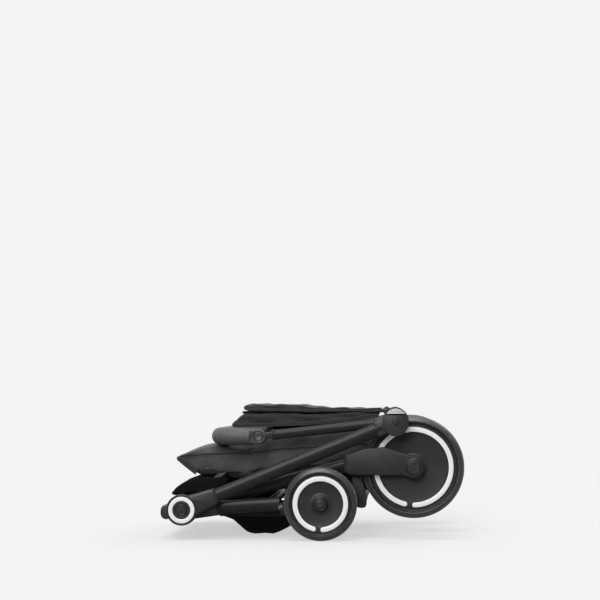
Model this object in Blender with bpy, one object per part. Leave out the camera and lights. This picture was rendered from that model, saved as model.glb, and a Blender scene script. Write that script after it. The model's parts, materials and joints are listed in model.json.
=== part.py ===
"""Folded pet stroller: two side frames on common hubs, a U-shaped push bar, canopy, cabin and basket."""
import math

import bmesh
import bpy
from mathutils import Vector

# Side view, metres: +X towards the rear wheels, +Z up, -Y is the stroller's left side.
HUB = Vector((-0.294, 0.0, 0.0675))            # axis that both leg pairs and the upper tubes turn on
FRONT_AXLE = Vector((0.019, 0.0, 0.082))
REAR_AXLE = Vector((0.2275, 0.0, 0.163))
HANDLE_PIVOT = Vector((0.188, 0.0, 0.2655))
GRIP_PIVOT = Vector((-0.122, 0.0, 0.232))
CANOPY_PIVOT = Vector((0.1667, 0.0, 0.290))
SWIVEL = Vector((-0.049, 0.0, 0.081))
SWIVEL_TILT = math.radians(26.0)               # caster axis above +X while the frame is folded

GAP = 0.0003                                   # between pieces that touch
TUBE_HEIGHT, TUBE_WIDTH, TUBE_WALL = 0.031, 0.018, 0.0018
HUB_RADIUS, HUB_BORE, PIN_RADIUS = 0.035, 0.0050, 0.0045
UPPER_LAYER = (0.2505, 0.2720)                 # distances of the three hub discs from the mid plane
FRONT_LAYER = (0.2285, 0.2500)
REAR_LAYER = (0.2065, 0.2280)
ARM_LAYER = (0.2360, 0.2500)
FRONT_WHEEL = dict(radius=0.082, layer=(0.2545, 0.2845), tyre=0.011, ring=(0.0512, 0.0632), boss=0.017)
REAR_WHEEL = dict(radius=0.115, layer=(0.2040, 0.2340), tyre=0.013, ring=(0.0792, 0.0911), boss=0.022)
FABRIC_HALF_WIDTH = 0.1800
WHEEL_STEPS = 32
SIDES = (("left", -1.0), ("right", 1.0))

FINISHES = {                                   # base colour, roughness, metallic
    "satin_black_paint": ((0.018, 0.018, 0.020), 0.36, 0.25),
    "black_plastic": ((0.022, 0.022, 0.023), 0.50, 0.0),
    "grey_plastic": ((0.085, 0.086, 0.088), 0.55, 0.0),
    "tyre_foam": ((0.014, 0.014, 0.015), 0.72, 0.0),
    "reflector": ((0.80, 0.80, 0.79), 0.32, 0.0),
    "button_grey": ((0.52, 0.53, 0.54), 0.45, 0.0),
    "grip_foam": ((0.050, 0.050, 0.053), 0.78, 0.0),
    "fabric": ((0.028, 0.028, 0.030), 0.92, 0.0),
    "steel": ((0.42, 0.43, 0.44), 0.35, 1.0),
    "board": ((0.045, 0.045, 0.045), 0.80, 0.0),
}


def clear_scene():
    for thing in list(bpy.data.objects):
        bpy.data.objects.remove(thing, do_unlink=True)


def finish(name):
    """The material of that name, made once."""
    material = bpy.data.materials.get(name)
    if material:
        return material
    colour, roughness, metallic = FINISHES[name]
    material = bpy.data.materials.new(name)
    material.use_nodes = True
    shader = material.node_tree.nodes["Principled BSDF"]
    shader.inputs["Base Color"].default_value = (*colour, 1.0)
    shader.inputs["Roughness"].default_value = roughness
    shader.inputs["Metallic"].default_value = metallic
    return material


def pivot(name, place):
    """An empty on a joint's axis, which the body's pieces hang from."""
    empty = bpy.data.objects.new(name, None)
    empty.location = place
    bpy.context.scene.collection.objects.link(empty)
    return empty


def add_object(name, verts, faces, material, parent, smooth_angle=35.0):
    """A mesh object from world points, with its origin on its parent's."""
    origin = Vector(parent.location)
    mesh = bpy.data.meshes.new(name)
    mesh.from_pydata([tuple(Vector(v) - origin) for v in verts], [], faces)
    body = bmesh.new()
    body.from_mesh(mesh)
    bmesh.ops.recalc_face_normals(body, faces=body.faces)
    body.to_mesh(mesh)
    body.free()
    mesh.shade_smooth()
    mesh.set_sharp_from_angle(angle=math.radians(smooth_angle))
    mesh.materials.append(finish(material))
    piece = bpy.data.objects.new(name, mesh)
    bpy.context.scene.collection.objects.link(piece)
    piece.parent = parent
    return piece


def guide(piece):
    piece.hide_render = True
    piece.display_type = "WIRE"
    return piece


def combine(piece, other, operation):
    """Joins a guide shape to a piece, or cuts it out."""
    modifier = piece.modifiers.new(operation.title(), "BOOLEAN")
    modifier.operation = operation
    modifier.solver = "EXACT"
    modifier.object = guide(other)


def join_rings(verts, rings, closed_path, cap_ends):
    """Faces between rings of point numbers, with the end rings capped."""
    faces = []
    count = len(rings[0])
    pairs = list(zip(rings, rings[1:]))
    if closed_path:
        pairs.append((rings[-1], rings[0]))
    for low, high in pairs:
        for k in range(count):
            n = (k + 1) % count
            corners = tuple(dict.fromkeys((low[k], low[n], high[n], high[k])))
            if len(corners) > 2:
                faces.append(corners)
    if cap_ends:
        faces.append(tuple(reversed(rings[0])))
        faces.append(tuple(rings[-1]))
    return faces


def turned_shape(profile, segments, centre, axis=Vector((0, 1, 0)), side=1.0):
    """A closed profile of (radius, distance) turned about an axis; a radius of 0 is a point on it."""
    axis = Vector(axis).normalized()
    across = axis.orthogonal().normalized()
    third = axis.cross(across)
    verts, rings = [], []
    for k in range(segments):
        angle = 2 * math.pi * k / segments
        outward = across * math.cos(angle) + third * math.sin(angle)
        ring = []
        for point, (radius, distance) in enumerate(profile):
            if radius == 0 and rings:
                ring.append(rings[0][point])
                continue
            ring.append(len(verts))
            verts.append(centre + outward * radius + axis * (distance * side))
        rings.append(ring)
    return verts, join_rings(verts, rings, True, False)


def rod_shape(start, end, radius, segments=16):
    """Points and faces of a round solid bar."""
    axis = (end - start).normalized()
    across = axis.orthogonal().normalized()
    third = axis.cross(across)
    verts, rings = [], []
    for place in (start, end):
        ring = []
        for k in range(segments):
            angle = 2 * math.pi * k / segments
            ring.append(len(verts))
            verts.append(place + (across * math.cos(angle) + third * math.sin(angle)) * radius)
        rings.append(ring)
    return verts, join_rings(verts, rings, False, True)


def swept_shape(path, normal, half_normal, half_side, wall=None, segments=14):
    """An oval section along a path that lies across `normal`; with a wall it is an open-ended tube."""
    sections = [(half_normal, half_side)]
    if wall:
        sections.append((half_normal - wall, half_side - wall))
    verts, layers = [], [[] for _ in sections]
    for i, place in enumerate(path):
        ahead = path[min(i + 1, len(path) - 1)] - path[max(i - 1, 0)]
        sideways = normal.cross(ahead.normalized()).normalized()
        stretch = 1.0
        if 0 < i < len(path) - 1:
            turn = (path[i + 1] - place).angle(place - path[i - 1])
            stretch = 1.0 / math.cos(turn / 2)
        for layer, (a, b) in zip(layers, sections):
            ring = []
            for k in range(segments):
                angle = 2 * math.pi * k / segments
                ring.append(len(verts))
                verts.append(place + normal * (a * math.cos(angle)) + sideways * (b * stretch * math.sin(angle)))
            layer.append(ring)
    if not wall:
        return verts, join_rings(verts, layers[0], False, True)
    faces = join_rings(verts, layers[0], False, False) + join_rings(verts, layers[1], False, False)
    for end in (0, -1):
        outer, inner = layers[0][end], layers[1][end]
        for k in range(segments):
            n = (k + 1) % segments
            faces.append((outer[k], outer[n], inner[n], inner[k]))
    return verts, faces


def prism_shape(outline, near, far):
    """A side-view outline of (x, z) points between two distances from the mid plane."""
    count = len(outline)
    verts = [Vector((x, near, z)) for x, z in outline] + [Vector((x, far, z)) for x, z in outline]
    faces = [tuple(range(count)), tuple(reversed(range(count, 2 * count)))]
    for k in range(count):
        n = (k + 1) % count
        faces.append((k, n, count + n, count + k))
    return verts, faces


def arc_points(centre, radius, start, end, steps):
    """Side-view points (x, z) on an arc, angles in degrees."""
    points = []
    for k in range(steps + 1):
        angle = math.radians(start + (end - start) * k / steps)
        points.append((centre.x + radius * math.cos(angle), centre.z + radius * math.sin(angle)))
    return points


def u_path(back_x, front_x, half_width, corner, z_back, z_front, steps=4):
    """A U-shaped path open towards +X, with round corners; its height runs evenly with x."""
    flat = [(back_x, -half_width)]
    for side, start in ((-1.0, -90.0), (1.0, 180.0)):
        for k in range(steps + 1):
            angle = math.radians(start - 90.0 * k / steps)
            centre_y = side * (half_width - corner)
            flat.append((front_x + corner + corner * math.cos(angle), centre_y + corner * math.sin(angle)))
    flat.append((back_x, half_width))
    rise = (z_front - z_back) / (front_x - back_x)
    return [Vector((x, y, z_back + (x - back_x) * rise)) for x, y in flat]


def mid(layer, side):
    return side * (layer[0] + layer[1]) / 2


def along(start, end, distance, y):
    """A point that far from start towards end, at distance y from the mid plane."""
    way = (end - start).normalized()
    place = start + way * distance
    return Vector((place.x, y, place.z))


def hub_disc(name, centre, radius, layer, side, material, parent, bore=HUB_BORE):
    """A hub disc with a bore and a small round on both rims."""
    low, high = layer
    edge = 0.0025
    profile = [(bore, low), (radius - edge, low), (radius, low + edge), (radius, high - edge),
               (radius - edge, high), (bore, high)]
    return add_object(name, *turned_shape(profile, 28, centre, side=side), material, parent)


def leg_outline(start, end, near, far, size_near, size_far):
    """The side view of a tapered piece between two distances along a leg."""
    way = (end - start).normalized()
    up = Vector((-way.z, 0, way.x))
    a, b = start + way * near, start + way * far
    corners = (a - up * size_near / 2, b - up * size_far / 2, b + up * size_far / 2, a + up * size_near / 2)
    return [(p.x, p.z) for p in corners]


def collar(name, start, end, near, far, layer, side, size_near, size_far, material, parent):
    """A tapered box-like sleeve from one distance to another along a leg."""
    outline = leg_outline(start, end, near, far, size_near, size_far)
    shape = prism_shape(outline, side * layer[0], side * layer[1])
    return add_object(name, *shape, material, parent)


def leg_tube(name, start, end, near, far, y, parent, height=TUBE_HEIGHT, width=TUBE_WIDTH):
    path = [along(start, end, near, y), along(start, end, far, y)]
    shape = swept_shape(path, Vector((0, 1, 0)), width / 2, height / 2, wall=TUBE_WALL)
    return add_object(name, *shape, "satin_black_paint", parent)


def both(shape_of_side):
    """The same shape on the left and on the right, as one set of points and faces."""
    verts, faces = [], []
    for _, side in SIDES:
        more_verts, more_faces = shape_of_side(side)
        faces += [tuple(len(verts) + k for k in face) for face in more_faces]
        verts += more_verts
    return verts, faces


def rod_pair(name, place, radius, layer, material, parent, segments=14):
    def one(side):
        start, end = (Vector((place.x, side * y, place.z)) for y in layer)
        return rod_shape(start, end, radius, segments)
    return add_object(name, *both(one), material, parent)


def prism_pair(name, outline, layer, material, parent):
    shape = both(lambda side: prism_shape(outline, side * layer[0], side * layer[1]))
    return add_object(name, *shape, material, parent)


def cross_rod(name, place, radius, half_length, material, parent, segments=14):
    start, end = (Vector((place.x, s * half_length, place.z)) for s in (-1, 1))
    return add_object(name, *rod_shape(start, end, radius, segments), material, parent)


def cross_tube(name, place, radius, half_length, parent):
    """A hollow round tube from side to side, open at both ends."""
    inner = radius - TUBE_WALL
    ring = [(inner, -half_length), (radius, -half_length), (radius, half_length), (inner, half_length)]
    return add_object(name, *turned_shape(ring, 16, place), "satin_black_paint", parent)


def side_rod(name, place, radius, layer, side, material, parent, segments=14):
    start, end = (Vector((place.x, side * y, place.z)) for y in layer)
    return add_object(name, *rod_shape(start, end, radius, segments), material, parent)


# ---------------------------------------------------------------- front frame

def front_frame(body):
    front_foot = Vector((-0.0790, 0, 0.0798))
    leg_length = (front_foot - HUB).length
    for name, side in SIDES:
        socket = hub_disc(f"front_hub_{name}", HUB, 0.030, FRONT_LAYER, side, "black_plastic", body)
        sleeve = collar(f"front_sleeve_guide_{name}", HUB, front_foot, 0.020, 0.082, FRONT_LAYER, side,
                        0.048, 0.035, "black_plastic", body)
        bore = side_rod(f"front_bore_guide_{name}", HUB, HUB_BORE, (0.22, 0.26), side, "steel", body)
        combine(socket, sleeve, "UNION")
        combine(socket, bore, "DIFFERENCE")
        y = mid(FRONT_LAYER, side)
        leg_tube(f"front_leg_{name}", HUB, front_foot, 0.082 + GAP, leg_length, y, body)
        housing = swivel_cylinder(f"caster_housing_{name}", side, 0.0140, -0.017, 0.017, body)
        combine(housing, swivel_cylinder(f"caster_bore_guide_{name}", side, 0.0065, -0.05, 0.05, body), "DIFFERENCE")
        side_rod(f"hub_bolt_{name}", HUB, PIN_RADIUS, (0.1860, 0.2650), side, "steel", body)
    cross_tube("front_cross_tube", Vector((-0.100, 0, 0.0790)), 0.0110, 0.2303 - GAP, body)
    bar = [Vector((-0.3315, y, 0.0600)) for y in (GAP - FRONT_LAYER[0], FRONT_LAYER[0] - GAP)]
    shape = swept_shape(bar, Vector((0, 0, 1)), 0.0165, 0.0105, wall=TUBE_WALL, segments=20)
    add_object("front_bumper_bar", *shape, "satin_black_paint", body)
    basket(body)


def swivel_cylinder(name, side, radius, low, high, parent, segments=24):
    axis = Vector((math.cos(SWIVEL_TILT), 0, math.sin(SWIVEL_TILT)))
    centre = SWIVEL + Vector((0, mid(FRONT_LAYER, side), 0))
    shape = rod_shape(centre + axis * low, centre + axis * high, radius, segments)
    return add_object(name, *shape, "black_plastic", parent)


def basket(body):
    """A sagging fabric tub under the front legs, open on top, with a flat stiff base."""
    outer = [(-0.2120, 0.0560), (-0.2080, 0.0400), (-0.1800, 0.0300), (-0.1660, 0.0080), (-0.1600, 0.0),
             (-0.0950, 0.0), (-0.0860, 0.0060), (-0.0450, 0.0260), (-0.0400, 0.0560)]
    inner = [(-0.2090, 0.0600), (-0.2045, 0.0425), (-0.1775, 0.0325), (-0.1635, 0.0110), (-0.1585, 0.0030),
             (-0.0965, 0.0030), (-0.0875, 0.0088), (-0.0478, 0.0282), (-0.0432, 0.0600)]
    tub = add_object("storage_basket", *prism_shape(outer, -0.2000, 0.2000), "fabric", body)
    hollow = add_object("basket_hollow_guide", *prism_shape(inner, -0.1970, 0.1970), "fabric", body)
    combine(tub, hollow, "DIFFERENCE")


# ---------------------------------------------------------------- wheels

def wheel(place_name, centre, size, side, body):
    """A tyre, and the plastic disc wheel with the raised seat of its reflective ring."""
    low, high = size["layer"]
    radius, tread = size["radius"], size["tyre"]
    middle, half = (low + high) / 2, (high - low) / 2
    rim = radius - tread
    tyre = [(rim + GAP, middle - half * 0.8)]
    for k in range(7):
        angle = math.pi * (k / 6 - 0.5)
        tyre.append((rim + 0.002 + (tread - 0.002) * math.cos(angle), middle + half * math.sin(angle)))
    tyre.append((rim + GAP, middle + half * 0.8))
    add_object(f"{place_name}_tyre", *turned_shape(tyre, WHEEL_STEPS, centre, side=side), "tyre_foam", body)
    ring_inner, ring_outer = size["ring"]
    bore, boss = 0.0050 + GAP, size["boss"]
    face = high - 0.0065
    back, raised = face - 0.0070, face + 0.0012
    disc = [(bore, low + 0.002), (boss, low + 0.002), (boss + 0.002, back), (rim - 0.006, back),
            (rim - 0.003, low + 0.003), (rim, low + 0.003), (rim, high - 0.003), (rim - 0.003, high - 0.003),
            (ring_outer, face), (ring_outer, raised), (ring_inner, raised), (ring_inner, face),
            (boss + 0.003, face - 0.001),
            (boss, high - 0.001), (bore, high - 0.001)]
    add_object(f"{place_name}_wheel", *turned_shape(disc, WHEEL_STEPS, centre, side=side), "grey_plastic", body)


def caster(name, side, body):
    """The swivelling fork leg of a front wheel, with its stem and axle."""
    stem = swivel_cylinder(f"front_fork_{name}", side, 0.0060, -0.020, 0.0215, body)
    crown = swivel_cylinder(f"front_crown_guide_{name}", side, 0.0135, 0.0175, 0.030, body)
    head = SWIVEL + Vector((0.021, 0, 0.0095))
    outline = (arc_points(FRONT_AXLE, 0.016, -110, 70, 8)
               + [(head.x + 0.012, head.z + 0.010), (head.x - 0.004, head.z + 0.008),
                  (head.x + 0.003, head.z - 0.014)])
    arm = prism_shape(outline, side * 0.2310, side * 0.2480)
    arm = add_object(f"front_arm_guide_{name}", *arm, "black_plastic", body)
    axle = side_rod(f"front_axle_guide_{name}", FRONT_AXLE, 0.0050, (0.2400, 0.2850), side, "steel", body)
    for other in (crown, arm, axle):
        combine(stem, other, "UNION")


# ---------------------------------------------------------------- rear frame

def rear_frame(body):
    leg_end = Vector((0.0750, 0, 0.1690))
    leg_length = (leg_end - HUB).length
    for name, side in SIDES:
        hub = hub_disc(f"rear_hub_{name}", HUB, 0.022, REAR_LAYER, side, "black_plastic", body)
        sleeve = collar(f"rear_sleeve_guide_{name}", HUB, leg_end, 0.012, 0.060, REAR_LAYER, side,
                        0.034, 0.034, "black_plastic", body)
        bore = side_rod(f"rear_bore_guide_{name}", HUB, HUB_BORE, (0.19, 0.24), side, "steel", body)
        combine(hub, sleeve, "UNION")
        combine(hub, bore, "DIFFERENCE")
        y = mid(REAR_LAYER, side)
        leg_tube(f"rear_leg_{name}", HUB, leg_end, 0.060 + GAP, leg_length, y, body)
        rear_bracket(name, side, body)
    axle = cross_rod("rear_axle", REAR_AXLE, 0.0050, 0.2520, "steel", body)
    caps = rod_pair("axle_cap_guide", REAR_AXLE, 0.0160, (0.2500 + GAP, 0.2535), "steel", body, 28)
    combine(axle, caps, "UNION")
    cross_tube("rear_brace_bar", Vector((0.1100, 0, 0.0800)), 0.0100, 0.2080 - GAP, body)


def rear_bracket(name, side, body):
    """The casting that carries the rear wheel: a block on the leg's end and an arm over the wheel."""
    outline = ([(0.0760, 0.1480), (0.0900, 0.1455), (0.2050, 0.1455)]
               + arc_points(REAR_AXLE, 0.024, -105, 75, 10)
               + [(0.2080, 0.1945), (0.1640, 0.2085), (0.1200, 0.2060), (0.0760, 0.1900)])
    arm = prism_shape(outline, side * 0.2365, side * 0.2500)
    arm = add_object(f"rear_bracket_{name}", *arm, "black_plastic", body)
    block = [(0.0808, 0.1500), (0.1075, 0.1500), (0.1075, 0.1930), (0.0703, 0.1880)]
    block = add_object(f"rear_block_guide_{name}", *prism_shape(block, side * 0.2070, side * 0.2400),
                       "black_plastic", body)
    stay = [(0.1010, 0.0700), (0.1190, 0.0700), (0.1075, 0.1600), (0.0850, 0.1600)]
    stay = add_object(f"rear_stay_guide_{name}", *prism_shape(stay, side * 0.2080, side * 0.2160), "black_plastic",
                      body)
    bore = side_rod(f"axle_bore_guide_{name}", REAR_AXLE, 0.0050 + GAP, (0.22, 0.26), side, "steel", body)
    combine(arm, block, "UNION")
    combine(arm, stay, "UNION")
    combine(arm, bore, "DIFFERENCE")


def brake_pedal(body):
    """A foot lever on a sleeve around the rear axle, midway between the wheels."""
    tip = math.radians(33.0)
    way, up = Vector((math.cos(tip), 0, math.sin(tip))), Vector((-math.sin(tip), 0, math.cos(tip)))
    corners = [REAR_AXLE + way * a + up * b for a, b in ((0.0, -0.007), (0.075, -0.002), (0.084, 0.003),
                                                         (0.075, 0.006), (0.0, 0.009))]
    sleeve = turned_shape([(0.0055, -0.045), (0.0120, -0.045), (0.0120, 0.045), (0.0055, 0.045)], 28, REAR_AXLE)
    sleeve = add_object("brake_pedal", *sleeve, "black_plastic", body)
    plate = prism_shape([(p.x, p.z) for p in corners], -0.040, 0.040)
    plate = add_object("brake_plate_guide", *plate, "black_plastic", body)
    bore = cross_rod("brake_bore_guide", REAR_AXLE, 0.0055, 0.060, "steel", body, 28)
    combine(sleeve, plate, "UNION")
    combine(sleeve, bore, "DIFFERENCE")


# ---------------------------------------------------------------- upper frame

def upper_frame(body):
    """Outer hub discs with a reflector seat and a cap, the long tubes and the handle housings."""
    sleeve_end, housing_start = 0.0866, (HANDLE_PIVOT - HUB).length - 0.046
    low, high = UPPER_LAYER
    ring_face, cap_face = high + 0.0012, high + 0.0022
    cover = [(0.0, low), (HUB_RADIUS - 0.003, low), (HUB_RADIUS, low + 0.003), (HUB_RADIUS, high - 0.003),
             (HUB_RADIUS - 0.003, high), (0.0296, high), (0.0296, ring_face), (0.0205, ring_face),
             (0.0205, high), (0.0130, high), (0.0120, cap_face), (0.0, cap_face)]
    for name, side in SIDES:
        hub = add_object(f"hub_cover_{name}", *turned_shape(cover, 32, HUB, side=side), "black_plastic", body)
        sleeve = collar(f"hub_sleeve_guide_{name}", HUB, HANDLE_PIVOT, 0.015, sleeve_end, UPPER_LAYER, side,
                        0.052, 0.0355, "black_plastic", body)
        bore = side_rod(f"hub_bore_guide_{name}", HUB, HUB_BORE, (0.24, 0.2660), side, "steel", body)
        combine(hub, sleeve, "UNION")
        combine(hub, bore, "DIFFERENCE")
        y = mid(UPPER_LAYER, side)
        leg_tube(f"upper_tube_{name}", HUB, HANDLE_PIVOT, sleeve_end + GAP, housing_start - GAP, y, body)
        handle_housing(name, side, housing_start, body)
        side_rod(f"handle_bolt_{name}", HANDLE_PIVOT, PIN_RADIUS, (0.2350, 0.2735), side, "steel", body)


def button_outline(radius, half_angle):
    return arc_points(HANDLE_PIVOT, radius, 90.0 - half_angle, 90.0 + half_angle, 8)


def handle_housing(name, side, start, body):
    """The plate at the top of an upper tube, with a half-round pocket for the release button."""
    housing = hub_disc(f"handle_housing_{name}", HANDLE_PIVOT, 0.0320, UPPER_LAYER, side, "black_plastic", body)
    far = (HANDLE_PIVOT - HUB).length
    sleeve = collar(f"housing_sleeve_guide_{name}", HUB, HANDLE_PIVOT, start, far - 0.012, UPPER_LAYER, side,
                    0.0340, 0.0440, "black_plastic", body)
    pocket = prism_shape(button_outline(0.0300, 48.0), side * 0.2640, side * 0.2760)
    pocket = add_object(f"button_pocket_guide_{name}", *pocket, "steel", body)
    bore = side_rod(f"housing_bore_guide_{name}", HANDLE_PIVOT, HUB_BORE, (0.24, 0.28), side, "steel", body)
    combine(housing, sleeve, "UNION")
    combine(housing, bore, "DIFFERENCE")
    combine(housing, pocket, "DIFFERENCE")


def release_button(name, side, body):
    outline = [(x, z + 0.0004) for x, z in button_outline(0.0292, 46.5)]
    shape = prism_shape(outline, side * 0.2660, side * 0.2735)
    add_object(f"release_button_{name}", *shape, "button_grey", body)


# ---------------------------------------------------------------- push handle

def handle(body):
    reach = (GRIP_PIVOT - HANDLE_PIVOT).length
    for name, side in SIDES:
        hub = hub_disc(f"handle_hub_{name}", HANDLE_PIVOT, 0.0260, ARM_LAYER, side, "black_plastic", body)
        sleeve = collar(f"handle_sleeve_guide_{name}", HANDLE_PIVOT, GRIP_PIVOT, 0.010, 0.048, ARM_LAYER, side,
                        0.036, 0.026, "black_plastic", body)
        lug = side_rod(f"canopy_lug_guide_{name}", CANOPY_PIVOT, 0.0085, ARM_LAYER, side, "black_plastic", body)
        web = collar(f"canopy_web_guide_{name}", HANDLE_PIVOT, CANOPY_PIVOT, 0.012, 0.0325, ARM_LAYER, side,
                     0.022, 0.016, "black_plastic", body)
        pin = side_rod(f"canopy_pin_guide_{name}", CANOPY_PIVOT, 0.0030, (0.1850, 0.2450), side, "steel", body)
        bore = side_rod(f"handle_bore_guide_{name}", HANDLE_PIVOT, HUB_BORE, (0.22, 0.26), side, "steel", body)
        for other in (sleeve, lug, web, pin):
            combine(hub, other, "UNION")
        combine(hub, bore, "DIFFERENCE")
        y = mid(ARM_LAYER, side)
        leg_tube(f"handle_arm_{name}", HANDLE_PIVOT, GRIP_PIVOT, 0.048 + GAP, reach - 0.036, y, body, 0.022, 0.0135)
        handle_tongue(name, side, reach, body)


def handle_tongue(name, side, reach, body):
    """The flat eye at the end of a handle arm, which the grip's yoke turns on."""
    thin = (0.2395, 0.2475)
    eye = hub_disc(f"handle_tongue_{name}", GRIP_PIVOT, 0.0140, thin, side, "black_plastic", body, 0.0035)
    neck = collar(f"tongue_neck_guide_{name}", HANDLE_PIVOT, GRIP_PIVOT, reach - 0.020, reach - 0.008, thin, side,
                  0.020, 0.020, "black_plastic", body)
    plug = collar(f"tongue_plug_guide_{name}", HANDLE_PIVOT, GRIP_PIVOT, reach - 0.036 + GAP, reach - 0.019,
                  ARM_LAYER, side, 0.024, 0.026, "black_plastic", body)
    combine(eye, neck, "UNION")
    combine(eye, plug, "UNION")


GRIP_JOINT_X, GRIP_FRONT_X, GRIP_HALF_WIDTH, GRIP_CORNER = -0.1455, -0.2115, 0.2435, 0.055


def grip(body):
    """A bent core tube in a foam sleeve, with a yoke at each end."""
    bar = u_path(GRIP_JOINT_X, GRIP_FRONT_X, GRIP_HALF_WIDTH, GRIP_CORNER, GRIP_PIVOT.z, GRIP_PIVOT.z)
    up = Vector((0, 0, 1))
    add_object("grip_core", *swept_shape(bar, up, 0.0095, 0.0095, wall=0.0018, segments=14), "steel", body)
    add_object("grip_foam", *swept_shape(bar, up, 0.0185, 0.0185, wall=0.0087, segments=14), "grip_foam", body)
    near, middle = GRIP_JOINT_X + 2 * GAP, GRIP_PIVOT.z
    outline = [(near, middle - 0.0165)] + arc_points(GRIP_PIVOT, 0.0165, -90, 90, 10) + [(near, middle + 0.0165)]
    slot = [(-0.1390, 0.2100), (-0.1000, 0.2100), (-0.1000, 0.2540), (-0.1390, 0.2540)]
    slots = prism_pair("yoke_slot_guide", slot, (0.2390, 0.2480), "steel", body)
    bores = rod_pair("yoke_bore_guide", GRIP_PIVOT, 0.0113, (0.2470, 0.2600), "steel", body, 28)
    for name, side in SIDES:
        shape = prism_shape(outline, side * 0.2310, side * 0.2560)
        yoke = add_object(f"grip_yoke_{name}", *shape, "black_plastic", body)
        combine(yoke, slots, "DIFFERENCE")
        combine(yoke, bores, "DIFFERENCE")
        combine(yoke, side_rod(f"yoke_pin_guide_{name}", GRIP_PIVOT, 0.0030, (0.2350, 0.2476), side, "steel", body),
                "UNION")


def grip_button(name, side, body):
    side_rod(f"grip_button_{name}", GRIP_PIVOT, 0.0108, (0.2500, 0.2582), side, "black_plastic", body, 28)


# ---------------------------------------------------------------- canopy and cabin

def canopy(name, layer, front_x, front_z, panel, body):
    """One canopy bow on the pivot pins, and the folded fabric that it carries."""
    middle = (layer[0] + layer[1]) / 2
    bar = u_path(CANOPY_PIVOT.x - 0.0050, front_x, middle, 0.008, CANOPY_PIVOT.z, front_z, 4)
    bow = add_object(f"canopy_bow_{name}", *swept_shape(bar, Vector((0, 0, 1)), 0.0030, 0.0030, segments=8),
                     "satin_black_paint", body)
    combine(bow, rod_pair(f"{name}_eye_guide", CANOPY_PIVOT, 0.0070, layer, "steel", body), "UNION")
    combine(bow, rod_pair(f"{name}_bore_guide", CANOPY_PIVOT, 0.0035, (0.18, 0.21), "steel", body), "DIFFERENCE")
    shape = prism_shape(panel, -FABRIC_HALF_WIDTH, FABRIC_HALF_WIDTH)
    add_object(f"canopy_fabric_{name}", *shape, "fabric", body)


REAR_CANOPY = [(-0.1560, 0.2955), (-0.1490, 0.3040), (-0.1140, 0.3060), (-0.0270, 0.3020), (0.1500, 0.2970),
               (0.1500, 0.2930), (-0.0500, 0.2880), (-0.1300, 0.2865), (-0.1530, 0.2890)]
FRONT_CANOPY = [(-0.1760, 0.2600), (-0.1700, 0.2720), (-0.1600, 0.2830), (-0.0500, 0.2840), (0.1450, 0.2880),
                (0.1450, 0.2820), (-0.0270, 0.2600), (-0.1650, 0.2547)]
CABIN_BAG = [(-0.3050, 0.1790), (-0.2940, 0.1900), (-0.2620, 0.2020), (-0.2360, 0.2080), (-0.2000, 0.2060),
             (-0.1300, 0.2080), (-0.1050, 0.2230), (0.0500, 0.2480), (0.1100, 0.2530), (0.1450, 0.2380),
             (0.1440, 0.2050), (0.1400, 0.1762), (-0.2100, 0.1622), (-0.2600, 0.1600), (-0.2680, 0.1560),
             (-0.2870, 0.1680)]
FRONT_APRON = [(-0.3110, 0.1040), (-0.3060, 0.1140), (-0.2900, 0.1260), (-0.2720, 0.1340), (-0.2600, 0.1350),
               (-0.2550, 0.1200), (-0.2700, 0.1060), (-0.2900, 0.1000)]


def cabin(body):
    """Rails that turn on the hub bolts, a stiff floor board between them and the folded fabric on top."""
    layer = (0.1890, 0.1990)
    rail = [(-0.2520, 0.1440), (0.1400, 0.1595), (0.1400, 0.1755), (-0.2520, 0.1600)]
    arm = [(HUB.x - 0.0060, HUB.z + 0.0060), (HUB.x + 0.0060, HUB.z - 0.0060), (-0.1860, 0.1560), (-0.2090, 0.1560)]
    frame = cross_rod("cabin_frame", Vector((-0.2000, 0, 0.1475)), 0.0040, 0.1920, "satin_black_paint", body)
    combine(frame, prism_pair("cabin_rail_guide", rail, layer, "steel", body), "UNION")
    combine(frame, cross_rod("cabin_bar_guide", Vector((0.1000, 0, 0.1600)), 0.0040, 0.1920, "steel", body), "UNION")
    combine(frame, prism_pair("cabin_arm_guide", arm, layer, "steel", body), "UNION")
    combine(frame, rod_pair("cabin_eye_guide", HUB, 0.0140, (0.1890, 0.2040), "steel", body, 24), "UNION")
    combine(frame, rod_pair("cabin_bore_guide", HUB, HUB_BORE, (0.17, 0.22), "steel", body), "DIFFERENCE")
    board = [(-0.2500, 0.1506), (0.1380, 0.1660), (0.1380, 0.1740), (-0.2500, 0.1586)]
    add_object("floor_board", *prism_shape(board, -0.1885, 0.1885), "board", body)
    add_object("cabin_fabric", *prism_shape(CABIN_BAG, -0.1850, 0.1850), "fabric", body)


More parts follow.
